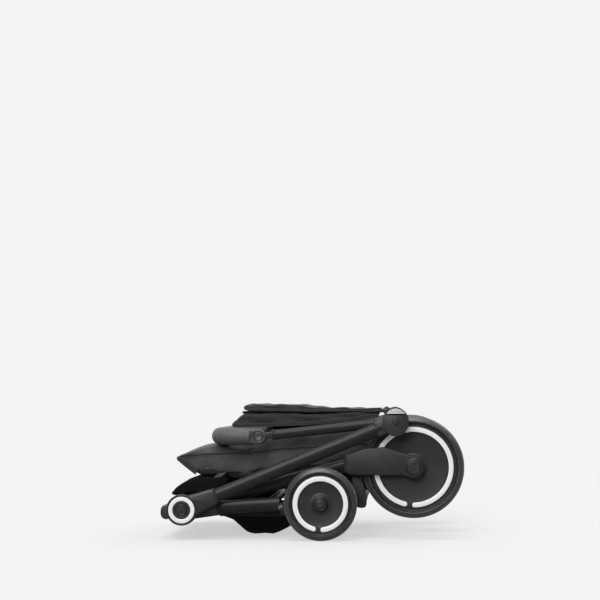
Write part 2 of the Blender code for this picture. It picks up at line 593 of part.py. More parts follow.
def build():
    clear_scene()
    root = pivot("front_frame_pivot", HUB)
    front_frame(root)
    apron = prism_shape(FRONT_APRON, -0.1700, 0.1700)
    add_object("front_apron", *apron, "fabric", root)
    for name, side in SIDES:
        swivel = pivot(f"swivel_pivot_{name}", SWIVEL + Vector((0, mid(FRONT_LAYER, side), 0)))
        caster(name, side, swivel)
        wheel(f"front_{name}", FRONT_AXLE, FRONT_WHEEL, side, pivot(f"front_axle_pivot_{name}", FRONT_AXLE))
        wheel(f"rear_{name}", REAR_AXLE, REAR_WHEEL, side, pivot(f"rear_axle_pivot_{name}", REAR_AXLE))
        release_button(name, side, pivot(f"release_pivot_{name}", HANDLE_PIVOT))
        grip_button(name, side, pivot(f"grip_button_pivot_{name}", GRIP_PIVOT))
    rear_frame(pivot("rear_frame_pivot", HUB))
    brake_pedal(pivot("brake_pivot", REAR_AXLE))
    upper_frame(pivot("upper_frame_pivot", HUB))
    handle(pivot("handle_pivot", HANDLE_PIVOT))
    grip(pivot("grip_pivot", GRIP_PIVOT))
    canopy("rear", (0.1865, 0.1925), -0.1635, 0.2930, REAR_CANOPY, pivot("canopy_rear_pivot", CANOPY_PIVOT))
    canopy("front", (0.1935, 0.1995), -0.1820, 0.2640, FRONT_CANOPY, pivot("canopy_front_pivot", CANOPY_PIVOT))
    cabin(pivot("cabin_pivot", HUB))


build()
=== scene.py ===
import json
import math

import bmesh
import bpy
import numpy as np
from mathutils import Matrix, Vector


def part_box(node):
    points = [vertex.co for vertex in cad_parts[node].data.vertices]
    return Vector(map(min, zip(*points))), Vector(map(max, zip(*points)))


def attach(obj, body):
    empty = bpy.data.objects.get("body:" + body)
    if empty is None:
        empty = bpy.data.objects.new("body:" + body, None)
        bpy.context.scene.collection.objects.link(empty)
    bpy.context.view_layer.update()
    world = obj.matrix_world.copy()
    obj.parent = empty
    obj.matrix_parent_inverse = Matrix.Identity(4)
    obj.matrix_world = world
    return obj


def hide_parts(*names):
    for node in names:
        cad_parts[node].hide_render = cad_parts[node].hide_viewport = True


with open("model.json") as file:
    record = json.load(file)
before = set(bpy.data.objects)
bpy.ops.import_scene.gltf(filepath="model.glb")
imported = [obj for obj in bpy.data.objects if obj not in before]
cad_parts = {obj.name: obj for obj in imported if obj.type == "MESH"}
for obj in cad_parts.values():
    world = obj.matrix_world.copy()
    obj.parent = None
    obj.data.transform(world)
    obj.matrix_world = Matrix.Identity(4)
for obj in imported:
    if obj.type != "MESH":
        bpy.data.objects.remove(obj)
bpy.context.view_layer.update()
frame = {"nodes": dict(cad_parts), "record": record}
joints = {joint["name"]: joint for joint in frame["record"]["behaviour"]["joints"]}
sides = (("left", -1.0), ("right", 1.0))
upAxis, sideAxis = np.array([0.0, 0.0, 1.0]), np.array([0.0, 1.0, 0.0])


def jointPlace(name):  # the joint's point in the mid plane, as x and z
    place = joints[name]["pos_m"]
    return np.array([place[0], place[2]])


def nodeBox(name):  # lowest and highest corner of a CAD node, as arrays
    low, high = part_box(name)
    return np.array(low), np.array(high)


def layerOf(name):  # how far a left-hand node reaches from the mid plane: inner and outer distance
    low, high = nodeBox(name)
    return -high[1], -low[1]


hub, handlePivot = jointPlace("frame_fold"), jointPlace("handle_fold")
gripPivot, canopyPivot = jointPlace("grip_tilt"), jointPlace("canopy_front_fold")
frontAxle, rearAxle = jointPlace("front_wheel_spin_left"), jointPlace("rear_wheel_spin_left")
casterTop = jointPlace("caster_swivel_left")
casterAxis = np.array(joints["caster_swivel_left"]["axis"])[[0, 2]]


# ---- camera, floor and light

view = {"distance": 3.40, "seenWidth": 1.35, "yaw": 3.41, "pitch": 3.90, "x": 0.1757, "height": 0.308,
        "nearSide": -0.27}


def makeCamera(s):
    # focal length = 36 mm sensor times the distance, over the width seen
    # at that distance; aimed left and up by two angles
    data = bpy.data.cameras.new("camera")
    data.lens = 36.0 * s["distance"] / s["seenWidth"]
    data.clip_end = 60.0
    camera = bpy.data.objects.new("camera", data)
    camera.location = (s["x"], s["nearSide"] - s["distance"], s["height"])
    aim = Vector((-math.tan(math.radians(s["yaw"])), 1.0, math.tan(math.radians(s["pitch"]))))
    camera.rotation_euler = aim.to_track_quat("-Z", "Y").to_euler()
    bpy.context.scene.collection.objects.link(camera)
    bpy.context.scene.camera = camera


studio = {"floor": 0.19, "glow": 0.555, "bounce": 0.08, "back": 0.905, "front": 0.02, "top": 0.72,
          "suns": (("overheadSun", (-0.3, -0.6, 2.3), 2.2, 40.0), ("frontSun", (-0.6, -2.3, 1.25), 2.7, 34.0),
                   ("edgeSun", (1.3, 1.1, 1.7), 0.90, 24.0))}


def makeStudio(s):
    # a wide pale floor; the world is bright behind and above and dim in front: front + (back - front) *
    # ramp(y), and three soft suns, which don't fade with distance, bring the floor to the tone of the back
    floor = gridPiece("studioFloor", np.array([[[x, y, 0.0] for x in (-30.0, 30.0)] for y in (-30.0, 30.0)]))
    paper = plainMaterial("floorPaper", (s["floor"],) * 3, 0.9)
    shader = paper.node_tree.nodes["Principled BSDF"]
    shader.inputs["Specular IOR Level"].default_value = 0.0
    shader.inputs["Emission Color"].default_value = (1.0, 1.0, 1.0, 1.0)
    tree = paper.node_tree
    rays = addNode(tree, "ShaderNodeLightPath")
    strength = addNode(tree, "ShaderNodeMapRange", {"Value": rays.outputs["Is Camera Ray"],
                                                    "To Min": s["bounce"], "To Max": s["glow"]})
    tree.links.new(strength.outputs["Result"], shader.inputs["Emission Strength"])  # keeps the shadows faint
    floor.data.materials.append(paper)
    world = bpy.data.worlds.new("studioWorld")
    world.use_nodes = True
    tree = world.node_tree
    background = tree.nodes["Background"]
    coords = addNode(tree, "ShaderNodeTexCoord")
    parts = addNode(tree, "ShaderNodeSeparateXYZ", {0: coords.outputs["Generated"]})
    across = addNode(tree, "ShaderNodeMapRange", {"Value": parts.outputs[1], "From Min": -0.15,
                                                  "From Max": 0.55, "To Min": s["front"],
                                                  "To Max": s["back"]})
    above = addNode(tree, "ShaderNodeMapRange", {"Value": parts.outputs[2], "From Min": 0.35,
                                                 "From Max": 0.95, "To Min": 0.0, "To Max": s["top"]})
    level = addNode(tree, "ShaderNodeMath", {0: across.outputs["Result"], 1: above.outputs["Result"]},
                    operation="MAXIMUM")
    tree.links.new(level.outputs[0], background.inputs["Strength"])
    background.inputs["Color"].default_value = (1.0, 1.0, 1.0, 1.0)
    bpy.context.scene.world = world
    for name, place, power, spread in s["suns"]:
        sun = bpy.data.lights.new(name, "SUN")
        sun.energy, sun.angle = power, math.radians(spread)
        sunObject = bpy.data.objects.new(name, sun)
        sunObject.rotation_euler = (-Vector(place)).to_track_quat("-Z", "Y").to_euler()
        bpy.context.scene.collection.objects.link(sunObject)
    bpy.context.scene.view_settings.view_transform = "Standard"


# ---- mesh making

def newPiece(name, verts, faces, uv=None):
    mesh = bpy.data.meshes.new(name)
    mesh.from_pydata(verts, [], faces)
    if uv is not None:
        layer = mesh.uv_layers.new(name="UVMap")
        corners = np.empty(len(mesh.loops), dtype=np.int32)
        mesh.loops.foreach_get("vertex_index", corners)
        layer.data.foreach_set("uv", uv[corners].astype(np.float32).ravel())
    piece = bpy.data.objects.new(name, mesh)
    bpy.context.scene.collection.objects.link(piece)
    return piece


def tidyMesh(piece, sharp=35.0):  # merges doubled points, turns the faces outward and shades it
    work = bmesh.new()
    work.from_mesh(piece.data)
    bmesh.ops.remove_doubles(work, verts=work.verts, dist=2e-6)
    bmesh.ops.recalc_face_normals(work, faces=work.faces)
    work.to_mesh(piece.data)
    work.free()
    piece.data.shade_smooth()
    piece.data.set_sharp_from_angle(angle=math.radians(sharp))
    return piece


def gridFaces(rows, columns, wrapRows=False, wrapColumns=False):
    # quads between neighbours of a rows by columns grid, with the last joined to the first where it wraps
    r = np.arange(rows if wrapRows else rows - 1)[:, None]
    c = np.arange(columns if wrapColumns else columns - 1)[None, :]
    r2, c2 = (r + 1) % rows, (c + 1) % columns
    quads = np.stack([r * columns + c, r * columns + c2, r2 * columns + c2, r2 * columns + c], axis=-1)
    return quads.reshape(-1, 4).tolist()


def gridPiece(name, grid, wrapRows=False, wrapColumns=False, caps=False, uv=None, sharp=35.0):
    # a surface through a rows by columns grid of points; caps close its first and last row
    rows, columns = grid.shape[:2]
    faces = gridFaces(rows, columns, wrapRows, wrapColumns)
    if caps:
        faces += [list(range(columns))[::-1], list(range((rows - 1) * columns, rows * columns))]
    flatUv = None if uv is None else uv.reshape(-1, 2)
    return tidyMesh(newPiece(name, grid.reshape(-1, 3).tolist(), faces, flatUv), sharp)


def unit(v):
    return v / np.maximum(np.linalg.norm(v, axis=-1, keepdims=True), 1e-12)


def softLoop(points, radius, steps=5):
    # each corner becomes a parabola between two points, radius away from it along its edges
    p = np.asarray(points, float)
    before, after = np.roll(p, 1, 0) - p, np.roll(p, -1, 0) - p
    r = np.broadcast_to(np.asarray(radius, float), (len(p),))
    reach = [np.minimum(r, 0.47 * np.linalg.norm(edge, axis=1))[:, None] for edge in (before, after)]
    a, b = p + unit(before) * reach[0], p + unit(after) * reach[1]
    t = np.linspace(0.0, 1.0, steps)[None, :, None]
    curve = (1 - t) ** 2 * a[:, None] + 2 * t * (1 - t) * p[:, None] + t ** 2 * b[:, None]
    return curve.reshape(-1, p.shape[1])


def turned(name, centre, side, profile, steps=96, sharp=35.0):
    # profile of (radius, distance from mid plane) carried round the side-to-side axis through centre
    profile = np.asarray(profile, float)
    angle = np.linspace(0, 2 * math.pi, steps, endpoint=False)[:, None]
    radius, across = profile[None, :, 0], profile[None, :, 1]
    grid = np.stack([centre[0] + radius * np.cos(angle), side * across + 0 * angle,
                     centre[1] + radius * np.sin(angle)], axis=-1)
    return gridPiece(name, grid, True, True, sharp=sharp)


def plate(name, outline, inner, outer, side, edge=0.0015, corner=0.002, sharp=50.0):
    # a side-view outline carried from inner to outer distance, with
    # quarter-round edges drawn in along its normals
    loop = softLoop(outline, corner)
    ahead = np.roll(loop, -1, 0) - np.roll(loop, 1, 0)
    normal = unit(np.stack([ahead[:, 1], -ahead[:, 0]], axis=1))
    area = np.sum(loop[:, 0] * np.roll(loop[:, 1], -1) - np.roll(loop[:, 0], -1) * loop[:, 1])
    normal = normal if area > 0 else -normal
    turn = np.linspace(0, math.pi / 2, 4)
    inset = np.concatenate([edge * (1 - np.sin(turn)), edge * (1 - np.cos(turn))])
    across = np.concatenate([inner + edge * (1 - np.cos(turn)), outer - edge * (1 - np.sin(turn))])
    flat = loop[None] - normal[None] * inset[:, None, None]
    grid = np.stack([flat[..., 0], np.broadcast_to((side * across)[:, None], flat.shape[:2]), flat[..., 1]],
                    axis=-1)
    return gridPiece(name, grid, False, True, caps=True, sharp=sharp)


def alongLeg(start, end, near, far):  # two points at those distances from start towards end
    way = unit(end - start)
    return start + way * near, start + way * far


def legOutline(start, end, near, far, sizeNear, sizeFar):  # the four corners of a tapered piece along a leg
    a, b = alongLeg(start, end, near, far)
    way = unit(end - start)
    up = np.array([-way[1], way[0]])
    return [a - up * sizeNear / 2, b - up * sizeFar / 2, b + up * sizeFar / 2, a + up * sizeNear / 2]


def sweep(name, path, wide, tall, wideAxis, power=2.4, steps=40, sharp=40.0):
    # a rounded-oval section, |x|^p + |y|^p = 1, carried along a path;
    # wideAxis is square to the path all along it
    path = np.asarray(path, float)
    ahead = unit(np.gradient(path, axis=0))
    wideAxis = np.broadcast_to(np.asarray(wideAxis, float), path.shape)
    tallAxis = unit(np.cross(wideAxis, ahead))
    angle = np.linspace(0, 2 * math.pi, steps, endpoint=False)
    cosine, sine = np.cos(angle), np.sin(angle)
    x = np.sign(cosine) * np.abs(cosine) ** (2 / power)
    y = np.sign(sine) * np.abs(sine) ** (2 / power)
    wide = np.broadcast_to(np.asarray(wide, float), (len(path),))[:, None, None]
    tall = np.broadcast_to(np.asarray(tall, float), (len(path),))[:, None, None]
    wideShift = wideAxis[:, None] * x[None, :, None] * wide
    tallShift = tallAxis[:, None] * y[None, :, None] * tall
    grid = path[:, None] + wideShift + tallShift
    run = np.concatenate([[0], np.cumsum(np.linalg.norm(np.diff(path, axis=0), axis=1))])
    girth = angle[None, :] * float(np.mean(tall))
    uv = np.stack([np.broadcast_to(run[:, None], grid.shape[:2]), np.broadcast_to(girth, grid.shape[:2])],
                  axis=-1)
    return gridPiece(name, grid, False, True, caps=True, uv=uv, sharp=sharp)


def place3(point, y):  # a side-view point at distance y
    return np.array([point[0], y, point[1]])


def uRoute(backX, frontX, half, corner, backZ, frontZ, steps=14):
    # a U open towards +X: two straight arms, two quarter circles and a
    # straight bar; height runs evenly with x
    turn = np.linspace(0, math.pi / 2, steps)
    centreX, centreY = frontX + corner, half - corner
    cornerOne = np.stack([centreX - corner * np.sin(turn), -centreY - corner * np.cos(turn)], axis=1)
    cornerTwo = np.stack([centreX - corner * np.cos(turn), centreY + corner * np.sin(turn)], axis=1)
    armRun = np.linspace(backX, centreX, 12, endpoint=False)
    barRun = np.linspace(-centreY, centreY, 14)[1:-1]
    flat = np.concatenate([np.stack([armRun, np.full(12, -half)], 1), cornerOne,
                           np.stack([np.full(12, frontX), barRun], 1), cornerTwo,
                           np.stack([armRun[::-1], np.full(12, half)], 1)])
    height = backZ + (flat[:, :1] - backX) * (frontZ - backZ) / (frontX - backX)
    return np.concatenate([flat, height], axis=1)


def settle(piece, body, material, *nodes, slot=None):
    # the piece's finish, its body and the CAD nodes it stands for
    piece.data.materials.clear()
    piece.data.materials.append(material)
    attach(piece, body)
    if nodes:
        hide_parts(*nodes)
    return piece


# ---- materials

def addNode(tree, kind, inputs=None, **settings):
    # inputs maps a socket's name or number to a value, or to another node's output socket
    made = tree.nodes.new(kind)
    for key, value in settings.items():
        setattr(made, key, value)
    for key, value in (inputs or {}).items():
        if isinstance(value, bpy.types.NodeSocket):
            tree.links.new(value, made.inputs[key])
        else:
            made.inputs[key].default_value = value
    return made


def newGroup(name, inputs, outputs):
    group = bpy.data.node_groups.new(name, "ShaderNodeTree")
    for label, kind, value in inputs:
        socket = group.interface.new_socket(label, in_out="INPUT", socket_type=kind)
        if value is not None:
            socket.default_value = value
    for label, kind in outputs:
        group.interface.new_socket(label, in_out="OUTPUT", socket_type=kind)
    return group, group.nodes.new("NodeGroupInput").outputs, group.nodes.new("NodeGroupOutput").inputs


number, place, colour = "NodeSocketFloat", "NodeSocketVector", "NodeSocketColor"


def makeSurfaceGroup():
    # colour = base mixed with its worn tone by cloudy noise; roughness =
    # base + cloud * spread; height = fine grain
    group, given, out = newGroup("surfaceAge", [
        ("Vector", place, None), ("Base", colour, (0.1, 0.1, 0.1, 1.0)),
        ("Worn", colour, (0.2, 0.2, 0.2, 1.0)), ("Wear", number, 0.2), ("Roughness", number, 0.5),
        ("Spread", number, 0.2), ("Grain Size", number, 900.0), ("Cloud Size", number, 30.0)],
        [("Colour", colour), ("Roughness", number), ("Height", number)])
    cloud = addNode(group, "ShaderNodeTexNoise", {"Vector": given["Vector"], "Scale": given["Cloud Size"],
                                                  "Detail": 5.0, "Roughness": 0.62})
    grain = addNode(group, "ShaderNodeTexNoise", {"Vector": given["Vector"], "Scale": given["Grain Size"],
                                                  "Detail": 3.0, "Roughness": 0.7})
    patch = addNode(group, "ShaderNodeMapRange", {"Value": cloud.outputs["Fac"], "From Min": 0.48,
                                                  "From Max": 0.78})
    amount = addNode(group, "ShaderNodeMath", {0: patch.outputs["Result"], 1: given["Wear"]},
                     operation="MULTIPLY")
    mixed = addNode(group, "ShaderNodeMix", {"Factor": amount.outputs[0]}, data_type="RGBA")
    group.links.new(given["Base"], mixed.inputs[6])
    group.links.new(given["Worn"], mixed.inputs[7])
    centred = addNode(group, "ShaderNodeMath", {0: cloud.outputs["Fac"], 1: 0.5}, operation="SUBTRACT")
    rough = addNode(group, "ShaderNodeMath", {0: centred.outputs[0], 1: given["Spread"],
                                              2: given["Roughness"]},
                    operation="MULTIPLY_ADD")
    group.links.new(mixed.outputs[2], out["Colour"])
    group.links.new(rough.outputs[0], out["Roughness"])
    group.links.new(grain.outputs["Fac"], out["Height"])
    return group


def makeEdgeGroup():
    # mask = how sharply the surface turns outward, ramped from pointiness, broken up by noise
    group, given, out = newGroup("edgeRub", [("Vector", place, None), ("Start", number, 0.53),
                                             ("End", number, 0.62)],
                                 [("Mask", number)])
    shape = addNode(group, "ShaderNodeNewGeometry")
    ramp = addNode(group, "ShaderNodeMapRange", {"Value": shape.outputs["Pointiness"],
                                                 "From Min": given["Start"], "From Max": given["End"]})
    breakUp = addNode(group, "ShaderNodeTexNoise", {"Vector": given["Vector"], "Scale": 140.0, "Detail": 4.0})
    patch = addNode(group, "ShaderNodeMapRange", {"Value": breakUp.outputs["Fac"], "From Min": 0.4,
                                                  "From Max": 0.65})
    mask = addNode(group, "ShaderNodeMath", {0: ramp.outputs["Result"], 1: patch.outputs["Result"]},
                   operation="MULTIPLY")
    group.links.new(mask.outputs[0], out["Mask"])
    return group


def makeWeaveGroup():
    # height = over-and-under threads: the warp |sin| where sin(u)sin(v) > 0 and the weft |sin| elsewhere
    group, given, out = newGroup("clothWeave", [("Vector", place, None), ("Threads", number, 900.0)],
                                 [("Height", number), ("Tone", number)])
    scaled = addNode(group, "ShaderNodeVectorMath", {0: given["Vector"], "Scale": given["Threads"]},
                     operation="SCALE")
    parts = addNode(group, "ShaderNodeSeparateXYZ", {0: scaled.outputs[0]})
    sines = [addNode(group, "ShaderNodeMath", {0: addNode(group, "ShaderNodeMath",
                                                          {0: parts.outputs[i], 1: math.pi},
                     operation="MULTIPLY").outputs[0]}, operation="SINE") for i in (0, 1)]
    product = addNode(group, "ShaderNodeMath", {0: sines[0].outputs[0], 1: sines[1].outputs[0]},
                      operation="MULTIPLY")
    over = addNode(group, "ShaderNodeMath", {0: product.outputs[0], 1: 0.0}, operation="GREATER_THAN")
    warp = addNode(group, "ShaderNodeMath", {0: sines[0].outputs[0]}, operation="ABSOLUTE")
    weft = addNode(group, "ShaderNodeMath", {0: sines[1].outputs[0]}, operation="ABSOLUTE")
    woven = addNode(group, "ShaderNodeMix", {"Factor": over.outputs[0], 2: warp.outputs[0],
                                             3: weft.outputs[0]})
    slub = addNode(group, "ShaderNodeTexNoise", {"Vector": given["Vector"], "Scale": 55.0, "Detail": 6.0,
                                                 "Roughness": 0.65})
    group.links.new(woven.outputs[0], out["Height"])
    group.links.new(slub.outputs["Fac"], out["Tone"])
    return group


def startMaterial(name):
    material = bpy.data.materials.new(name)
    material.use_nodes = True
    tree = material.node_tree
    return material, tree, tree.nodes["Principled BSDF"]


def plainMaterial(name, tone, roughness):
    material, tree, shader = startMaterial(name)
    coords = addNode(tree, "ShaderNodeTexCoord")
    noise = addNode(tree, "ShaderNodeTexNoise", {"Vector": coords.outputs["Object"], "Scale": 3.0,
                                                 "Detail": 3.0})
    ramp = addNode(tree, "ShaderNodeMapRange", {"Value": noise.outputs["Fac"], "To Min": roughness - 0.04,
                                                "To Max": roughness + 0.04})
    tree.links.new(ramp.outputs["Result"], shader.inputs["Roughness"])
    shader.inputs["Base Color"].default_value = (*tone, 1.0)
    return material


def hardMaterial(name, s):
    # moulded, painted or metal surface: aged colour and roughness, rubbed edges, and a grain bump
    material, tree, shader = startMaterial(name)
    coords = addNode(tree, "ShaderNodeTexCoord")
    where = coords.outputs["Object"]
    aged = addNode(tree, "ShaderNodeGroup", node_tree=surfaceGroup)
    edge = addNode(tree, "ShaderNodeGroup", node_tree=edgeGroup)
    for label in ("Wear", "Roughness", "Spread", "Grain Size", "Cloud Size"):
        aged.inputs[label].default_value = s[label]
    aged.inputs["Base"].default_value = (*s["Base"], 1.0)
    aged.inputs["Worn"].default_value = (*s["Worn"], 1.0)
    tree.links.new(where, aged.inputs["Vector"])
    tree.links.new(where, edge.inputs["Vector"])
    rubbed = addNode(tree, "ShaderNodeMix", data_type="RGBA")
    amount = addNode(tree, "ShaderNodeMath", {0: edge.outputs["Mask"], 1: s["Rub"]}, operation="MULTIPLY")
    tree.links.new(amount.outputs[0], rubbed.inputs["Factor"])
    tree.links.new(aged.outputs["Colour"], rubbed.inputs[6])
    rubbed.inputs[7].default_value = (*s["Worn"], 1.0)
    bump = addNode(tree, "ShaderNodeBump", {"Strength": s["Strength"], "Distance": s["Depth"],
                                            "Height": aged.outputs["Height"]})
    tree.links.new(rubbed.outputs[2], shader.inputs["Base Color"])
    tree.links.new(aged.outputs["Roughness"], shader.inputs["Roughness"])
    tree.links.new(bump.outputs["Normal"], shader.inputs["Normal"])
    shader.inputs["Metallic"].default_value = s.get("Metallic", 0.0)
    shader.inputs["Coat Weight"].default_value = s.get("Coat", 0.0)
    shader.inputs["Coat Roughness"].default_value = 0.25
    shader.inputs["Specular IOR Level"].default_value = s.get("Specular", 0.5)
    shader.inputs["Sheen Weight"].default_value = s.get("Sheen", 0.0)
    shader.inputs["Sheen Roughness"].default_value = 0.4
    return material


def clothMaterial(name, s):
    # woven cloth on the piece's own UV map in metres: thread bump, painted shade between the threads, slubby
    # tone and soft creases
    material, tree, shader = startMaterial(name)
    uv = addNode(tree, "ShaderNodeUVMap", uv_map="UVMap")
    weave = addNode(tree, "ShaderNodeGroup", node_tree=weaveGroup)
    weave.inputs["Threads"].default_value = s["Threads"]
    tree.links.new(uv.outputs["UV"], weave.inputs["Vector"])
    coords = addNode(tree, "ShaderNodeTexCoord")
    crease = addNode(tree, "ShaderNodeTexNoise", {"Vector": coords.outputs["Object"], "Scale": s["Creases"],
                                                  "Detail": 4.0, "Distortion": 0.6})
    tone = addNode(tree, "ShaderNodeMix", {"Factor": weave.outputs["Tone"]}, data_type="RGBA")
    tone.inputs[6].default_value = (*s["Base"], 1.0)
    tone.inputs[7].default_value = (*s["Faded"], 1.0)
    # painted shade: the tone darkens where the weave's threads dip and lightens on their tops
    threadPaintedShade = addNode(tree, "ShaderNodeMapRange", {"Value": weave.outputs["Height"], "To Min": 0.72,
                                                       "To Max": 1.1})
    shaded = addNode(tree, "ShaderNodeVectorMath", {0: tone.outputs[2],
                                                    "Scale": threadPaintedShade.outputs["Result"]},
                     operation="SCALE")
    rough = addNode(tree, "ShaderNodeMapRange", {"Value": crease.outputs["Fac"],
                                                 "To Min": s["Roughness"] - 0.1,
                                                 "To Max": s["Roughness"] + 0.08})
    creaseBump = addNode(tree, "ShaderNodeBump", {"Strength": 0.55, "Distance": s["CreaseDepth"],
                                                  "Height": crease.outputs["Fac"]})
    bump = addNode(tree, "ShaderNodeBump", {"Strength": 0.6, "Distance": s["Depth"],
                                            "Height": weave.outputs["Height"],
                                            "Normal": creaseBump.outputs["Normal"]})
    tree.links.new(shaded.outputs[0], shader.inputs["Base Color"])
    tree.links.new(rough.outputs["Result"], shader.inputs["Roughness"])
    tree.links.new(bump.outputs["Normal"], shader.inputs["Normal"])
    shader.inputs["Sheen Weight"].default_value = s["Sheen"]
    shader.inputs["Sheen Roughness"].default_value = 0.45
    shader.inputs["Specular IOR Level"].default_value = s["Specular"]
    return material


def leatherMaterial(name, s):
    # pebbled leatherette on object coordinates: cells between creases, height = distance to the cell's edge,
    # and painted shade that darkens the creases
    material, tree, shader = startMaterial(name)
    coords = addNode(tree, "ShaderNodeTexCoord")
    where = coords.outputs["Object"]
    wobble = addNode(tree, "ShaderNodeTexNoise", {"Vector": where, "Scale": 260.0, "Detail": 2.0})
    jitter = (0.0022, 0.0022, 0.0022)
    shifted = addNode(tree, "ShaderNodeVectorMath", {0: wobble.outputs["Color"], 1: jitter, 2: where},
                      operation="MULTIPLY_ADD")
    cells = addNode(tree, "ShaderNodeTexVoronoi", {"Vector": shifted.outputs[0], "Scale": s["Pebbles"]},
                    feature="DISTANCE_TO_EDGE")
    raised = addNode(tree, "ShaderNodeMapRange", {"Value": cells.outputs["Distance"], "From Min": 0.0,
                                                  "From Max": 0.16})
    aged = addNode(tree, "ShaderNodeGroup", node_tree=surfaceGroup)
    for label in ("Wear", "Roughness", "Spread", "Grain Size", "Cloud Size"):
        aged.inputs[label].default_value = s[label]
    aged.inputs["Base"].default_value = (*s["Base"], 1.0)
    aged.inputs["Worn"].default_value = (*s["Worn"], 1.0)
    tree.links.new(where, aged.inputs["Vector"])
    # painted shade: the colour darkens towards the creases between the pebbles
    creasePaintedShade = addNode(tree, "ShaderNodeMapRange", {"Value": raised.outputs["Result"], "To Min": 0.55,
                                                "To Max": 1.0})
    shaded = addNode(tree, "ShaderNodeVectorMath", {0: aged.outputs["Colour"],
                                                    "Scale": creasePaintedShade.outputs["Result"]},
                     operation="SCALE")
    bump = addNode(tree, "ShaderNodeBump", {"Strength": 0.7, "Distance": s["Depth"],
                                            "Height": raised.outputs["Result"]})
    tree.links.new(shaded.outputs[0], shader.inputs["Base Color"])
    tree.links.new(aged.outputs["Roughness"], shader.inputs["Roughness"])
    tree.links.new(bump.outputs["Normal"], shader.inputs["Normal"])
    return material


def reflectorMaterial(name, s):
    # reflecting tape: tiny prism cells that change its tone and roughness, and a painted glow
    material, tree, shader = startMaterial(name)
    coords = addNode(tree, "ShaderNodeTexCoord")
    cells = addNode(tree, "ShaderNodeTexVoronoi", {"Vector": coords.outputs["Object"], "Scale": s["Cells"]})
    tone = addNode(tree, "ShaderNodeMix", {"Factor": cells.outputs["Distance"]}, data_type="RGBA")
    tone.inputs[6].default_value = (*s["Base"], 1.0)
    tone.inputs[7].default_value = (*s["Edge"], 1.0)
    rough = addNode(tree, "ShaderNodeMapRange", {"Value": cells.outputs["Distance"], "To Min": 0.22,
                                                 "To Max": 0.48})
    bump = addNode(tree, "ShaderNodeBump", {"Strength": 0.3, "Distance": 0.0001,
                                            "Height": cells.outputs["Distance"]})
    tree.links.new(tone.outputs[2], shader.inputs["Base Color"])
    tree.links.new(rough.outputs["Result"], shader.inputs["Roughness"])
    tree.links.new(bump.outputs["Normal"], shader.inputs["Normal"])
    shader.inputs["Metallic"].default_value = s["Metallic"]
    tree.links.new(tone.outputs[2], shader.inputs["Emission Color"])
    # painted glow: the tape gives off light in its own tone, standing in for the light that it sends back
    shader.inputs["Emission Strength"].default_value = s["PaintedGlow"]
    return material


surfaceGroup, edgeGroup, weaveGroup = makeSurfaceGroup(), makeEdgeGroup(), makeWeaveGroup()

framePaint = hardMaterial("framePaint", {
    "Base": (0.0115, 0.0115, 0.0120), "Worn": (0.026, 0.026, 0.027), "Wear": 0.35, "Rub": 0.20,
    "Roughness": 0.33, "Spread": 0.14, "Grain Size": 1400.0, "Cloud Size": 26.0, "Strength": 0.03,
    "Depth": 0.0001, "Specular": 0.16})
mouldedPlastic = hardMaterial("mouldedPlastic", {
    "Base": (0.0150, 0.0150, 0.0155), "Worn": (0.032, 0.032, 0.033), "Wear": 0.30, "Rub": 0.22,
    "Roughness": 0.40, "Spread": 0.18, "Grain Size": 1700.0, "Cloud Size": 38.0, "Strength": 0.22,
    "Depth": 0.0002, "Specular": 0.34})
gripPlastic = hardMaterial("gripPlastic", {
    "Base": (0.038, 0.038, 0.039), "Worn": (0.070, 0.070, 0.071), "Wear": 0.30, "Rub": 0.30,
    "Roughness": 0.44, "Spread": 0.18, "Grain Size": 1500.0, "Cloud Size": 45.0, "Strength": 0.25,
    "Depth": 0.0002, "Specular": 0.40})
wheelPlastic = hardMaterial("wheelPlastic", {
    "Base": (0.0110, 0.0110, 0.0116), "Worn": (0.034, 0.034, 0.035), "Wear": 0.30, "Rub": 0.30,
    "Roughness": 0.42, "Spread": 0.18, "Grain Size": 1500.0, "Cloud Size": 30.0, "Strength": 0.22,
    "Depth": 0.0002, "Specular": 0.30})
tyreFoam = hardMaterial("tyreFoam", {
    "Base": (0.0200, 0.0200, 0.0205), "Worn": (0.075, 0.074, 0.072), "Wear": 0.40, "Rub": 0.15,
    "Roughness": 0.42, "Spread": 0.22, "Grain Size": 1100.0, "Cloud Size": 60.0, "Strength": 0.30,
    "Depth": 0.0003, "Specular": 0.62, "Sheen": 0.30})
buttonPlastic = hardMaterial("buttonPlastic", {
    "Base": (0.33, 0.33, 0.34), "Worn": (0.25, 0.25, 0.26), "Wear": 0.40, "Rub": 0.20, "Roughness": 0.42,
    "Spread": 0.18, "Grain Size": 1500.0, "Cloud Size": 50.0, "Strength": 0.20, "Depth": 0.0002})
screwSteel = hardMaterial("screwSteel", {
    "Base": (0.055, 0.055, 0.058), "Worn": (0.11, 0.11, 0.11), "Wear": 0.50, "Rub": 0.30, "Roughness": 0.34,
    "Spread": 0.30, "Grain Size": 2200.0, "Cloud Size": 160.0, "Strength": 0.15, "Depth": 0.0001,
    "Metallic": 1.0})
# the reflector's glow is painted light
reflector = reflectorMaterial("reflector", {"Base": (0.64, 0.64, 0.64), "Edge": (0.56, 0.57, 0.58),
                                            "Cells": 900.0, "Metallic": 0.15, "PaintedGlow": 0.16})
gripLeather = leatherMaterial("gripLeather", {
    "Base": (0.072, 0.072, 0.073), "Worn": (0.108, 0.107, 0.105), "Wear": 0.4, "Roughness": 0.46,
    "Spread": 0.2, "Grain Size": 1500.0, "Cloud Size": 35.0, "Pebbles": 520.0, "Depth": 0.0004})
canopyCloth = clothMaterial("canopyCloth", {
    "Base": (0.0160, 0.0160, 0.0165), "Faded": (0.0370, 0.0370, 0.0380), "Threads": 1100.0, "Roughness": 0.62,
    "Creases": 16.0, "CreaseDepth": 0.003, "Depth": 0.0003, "Sheen": 0.12, "Specular": 0.10})
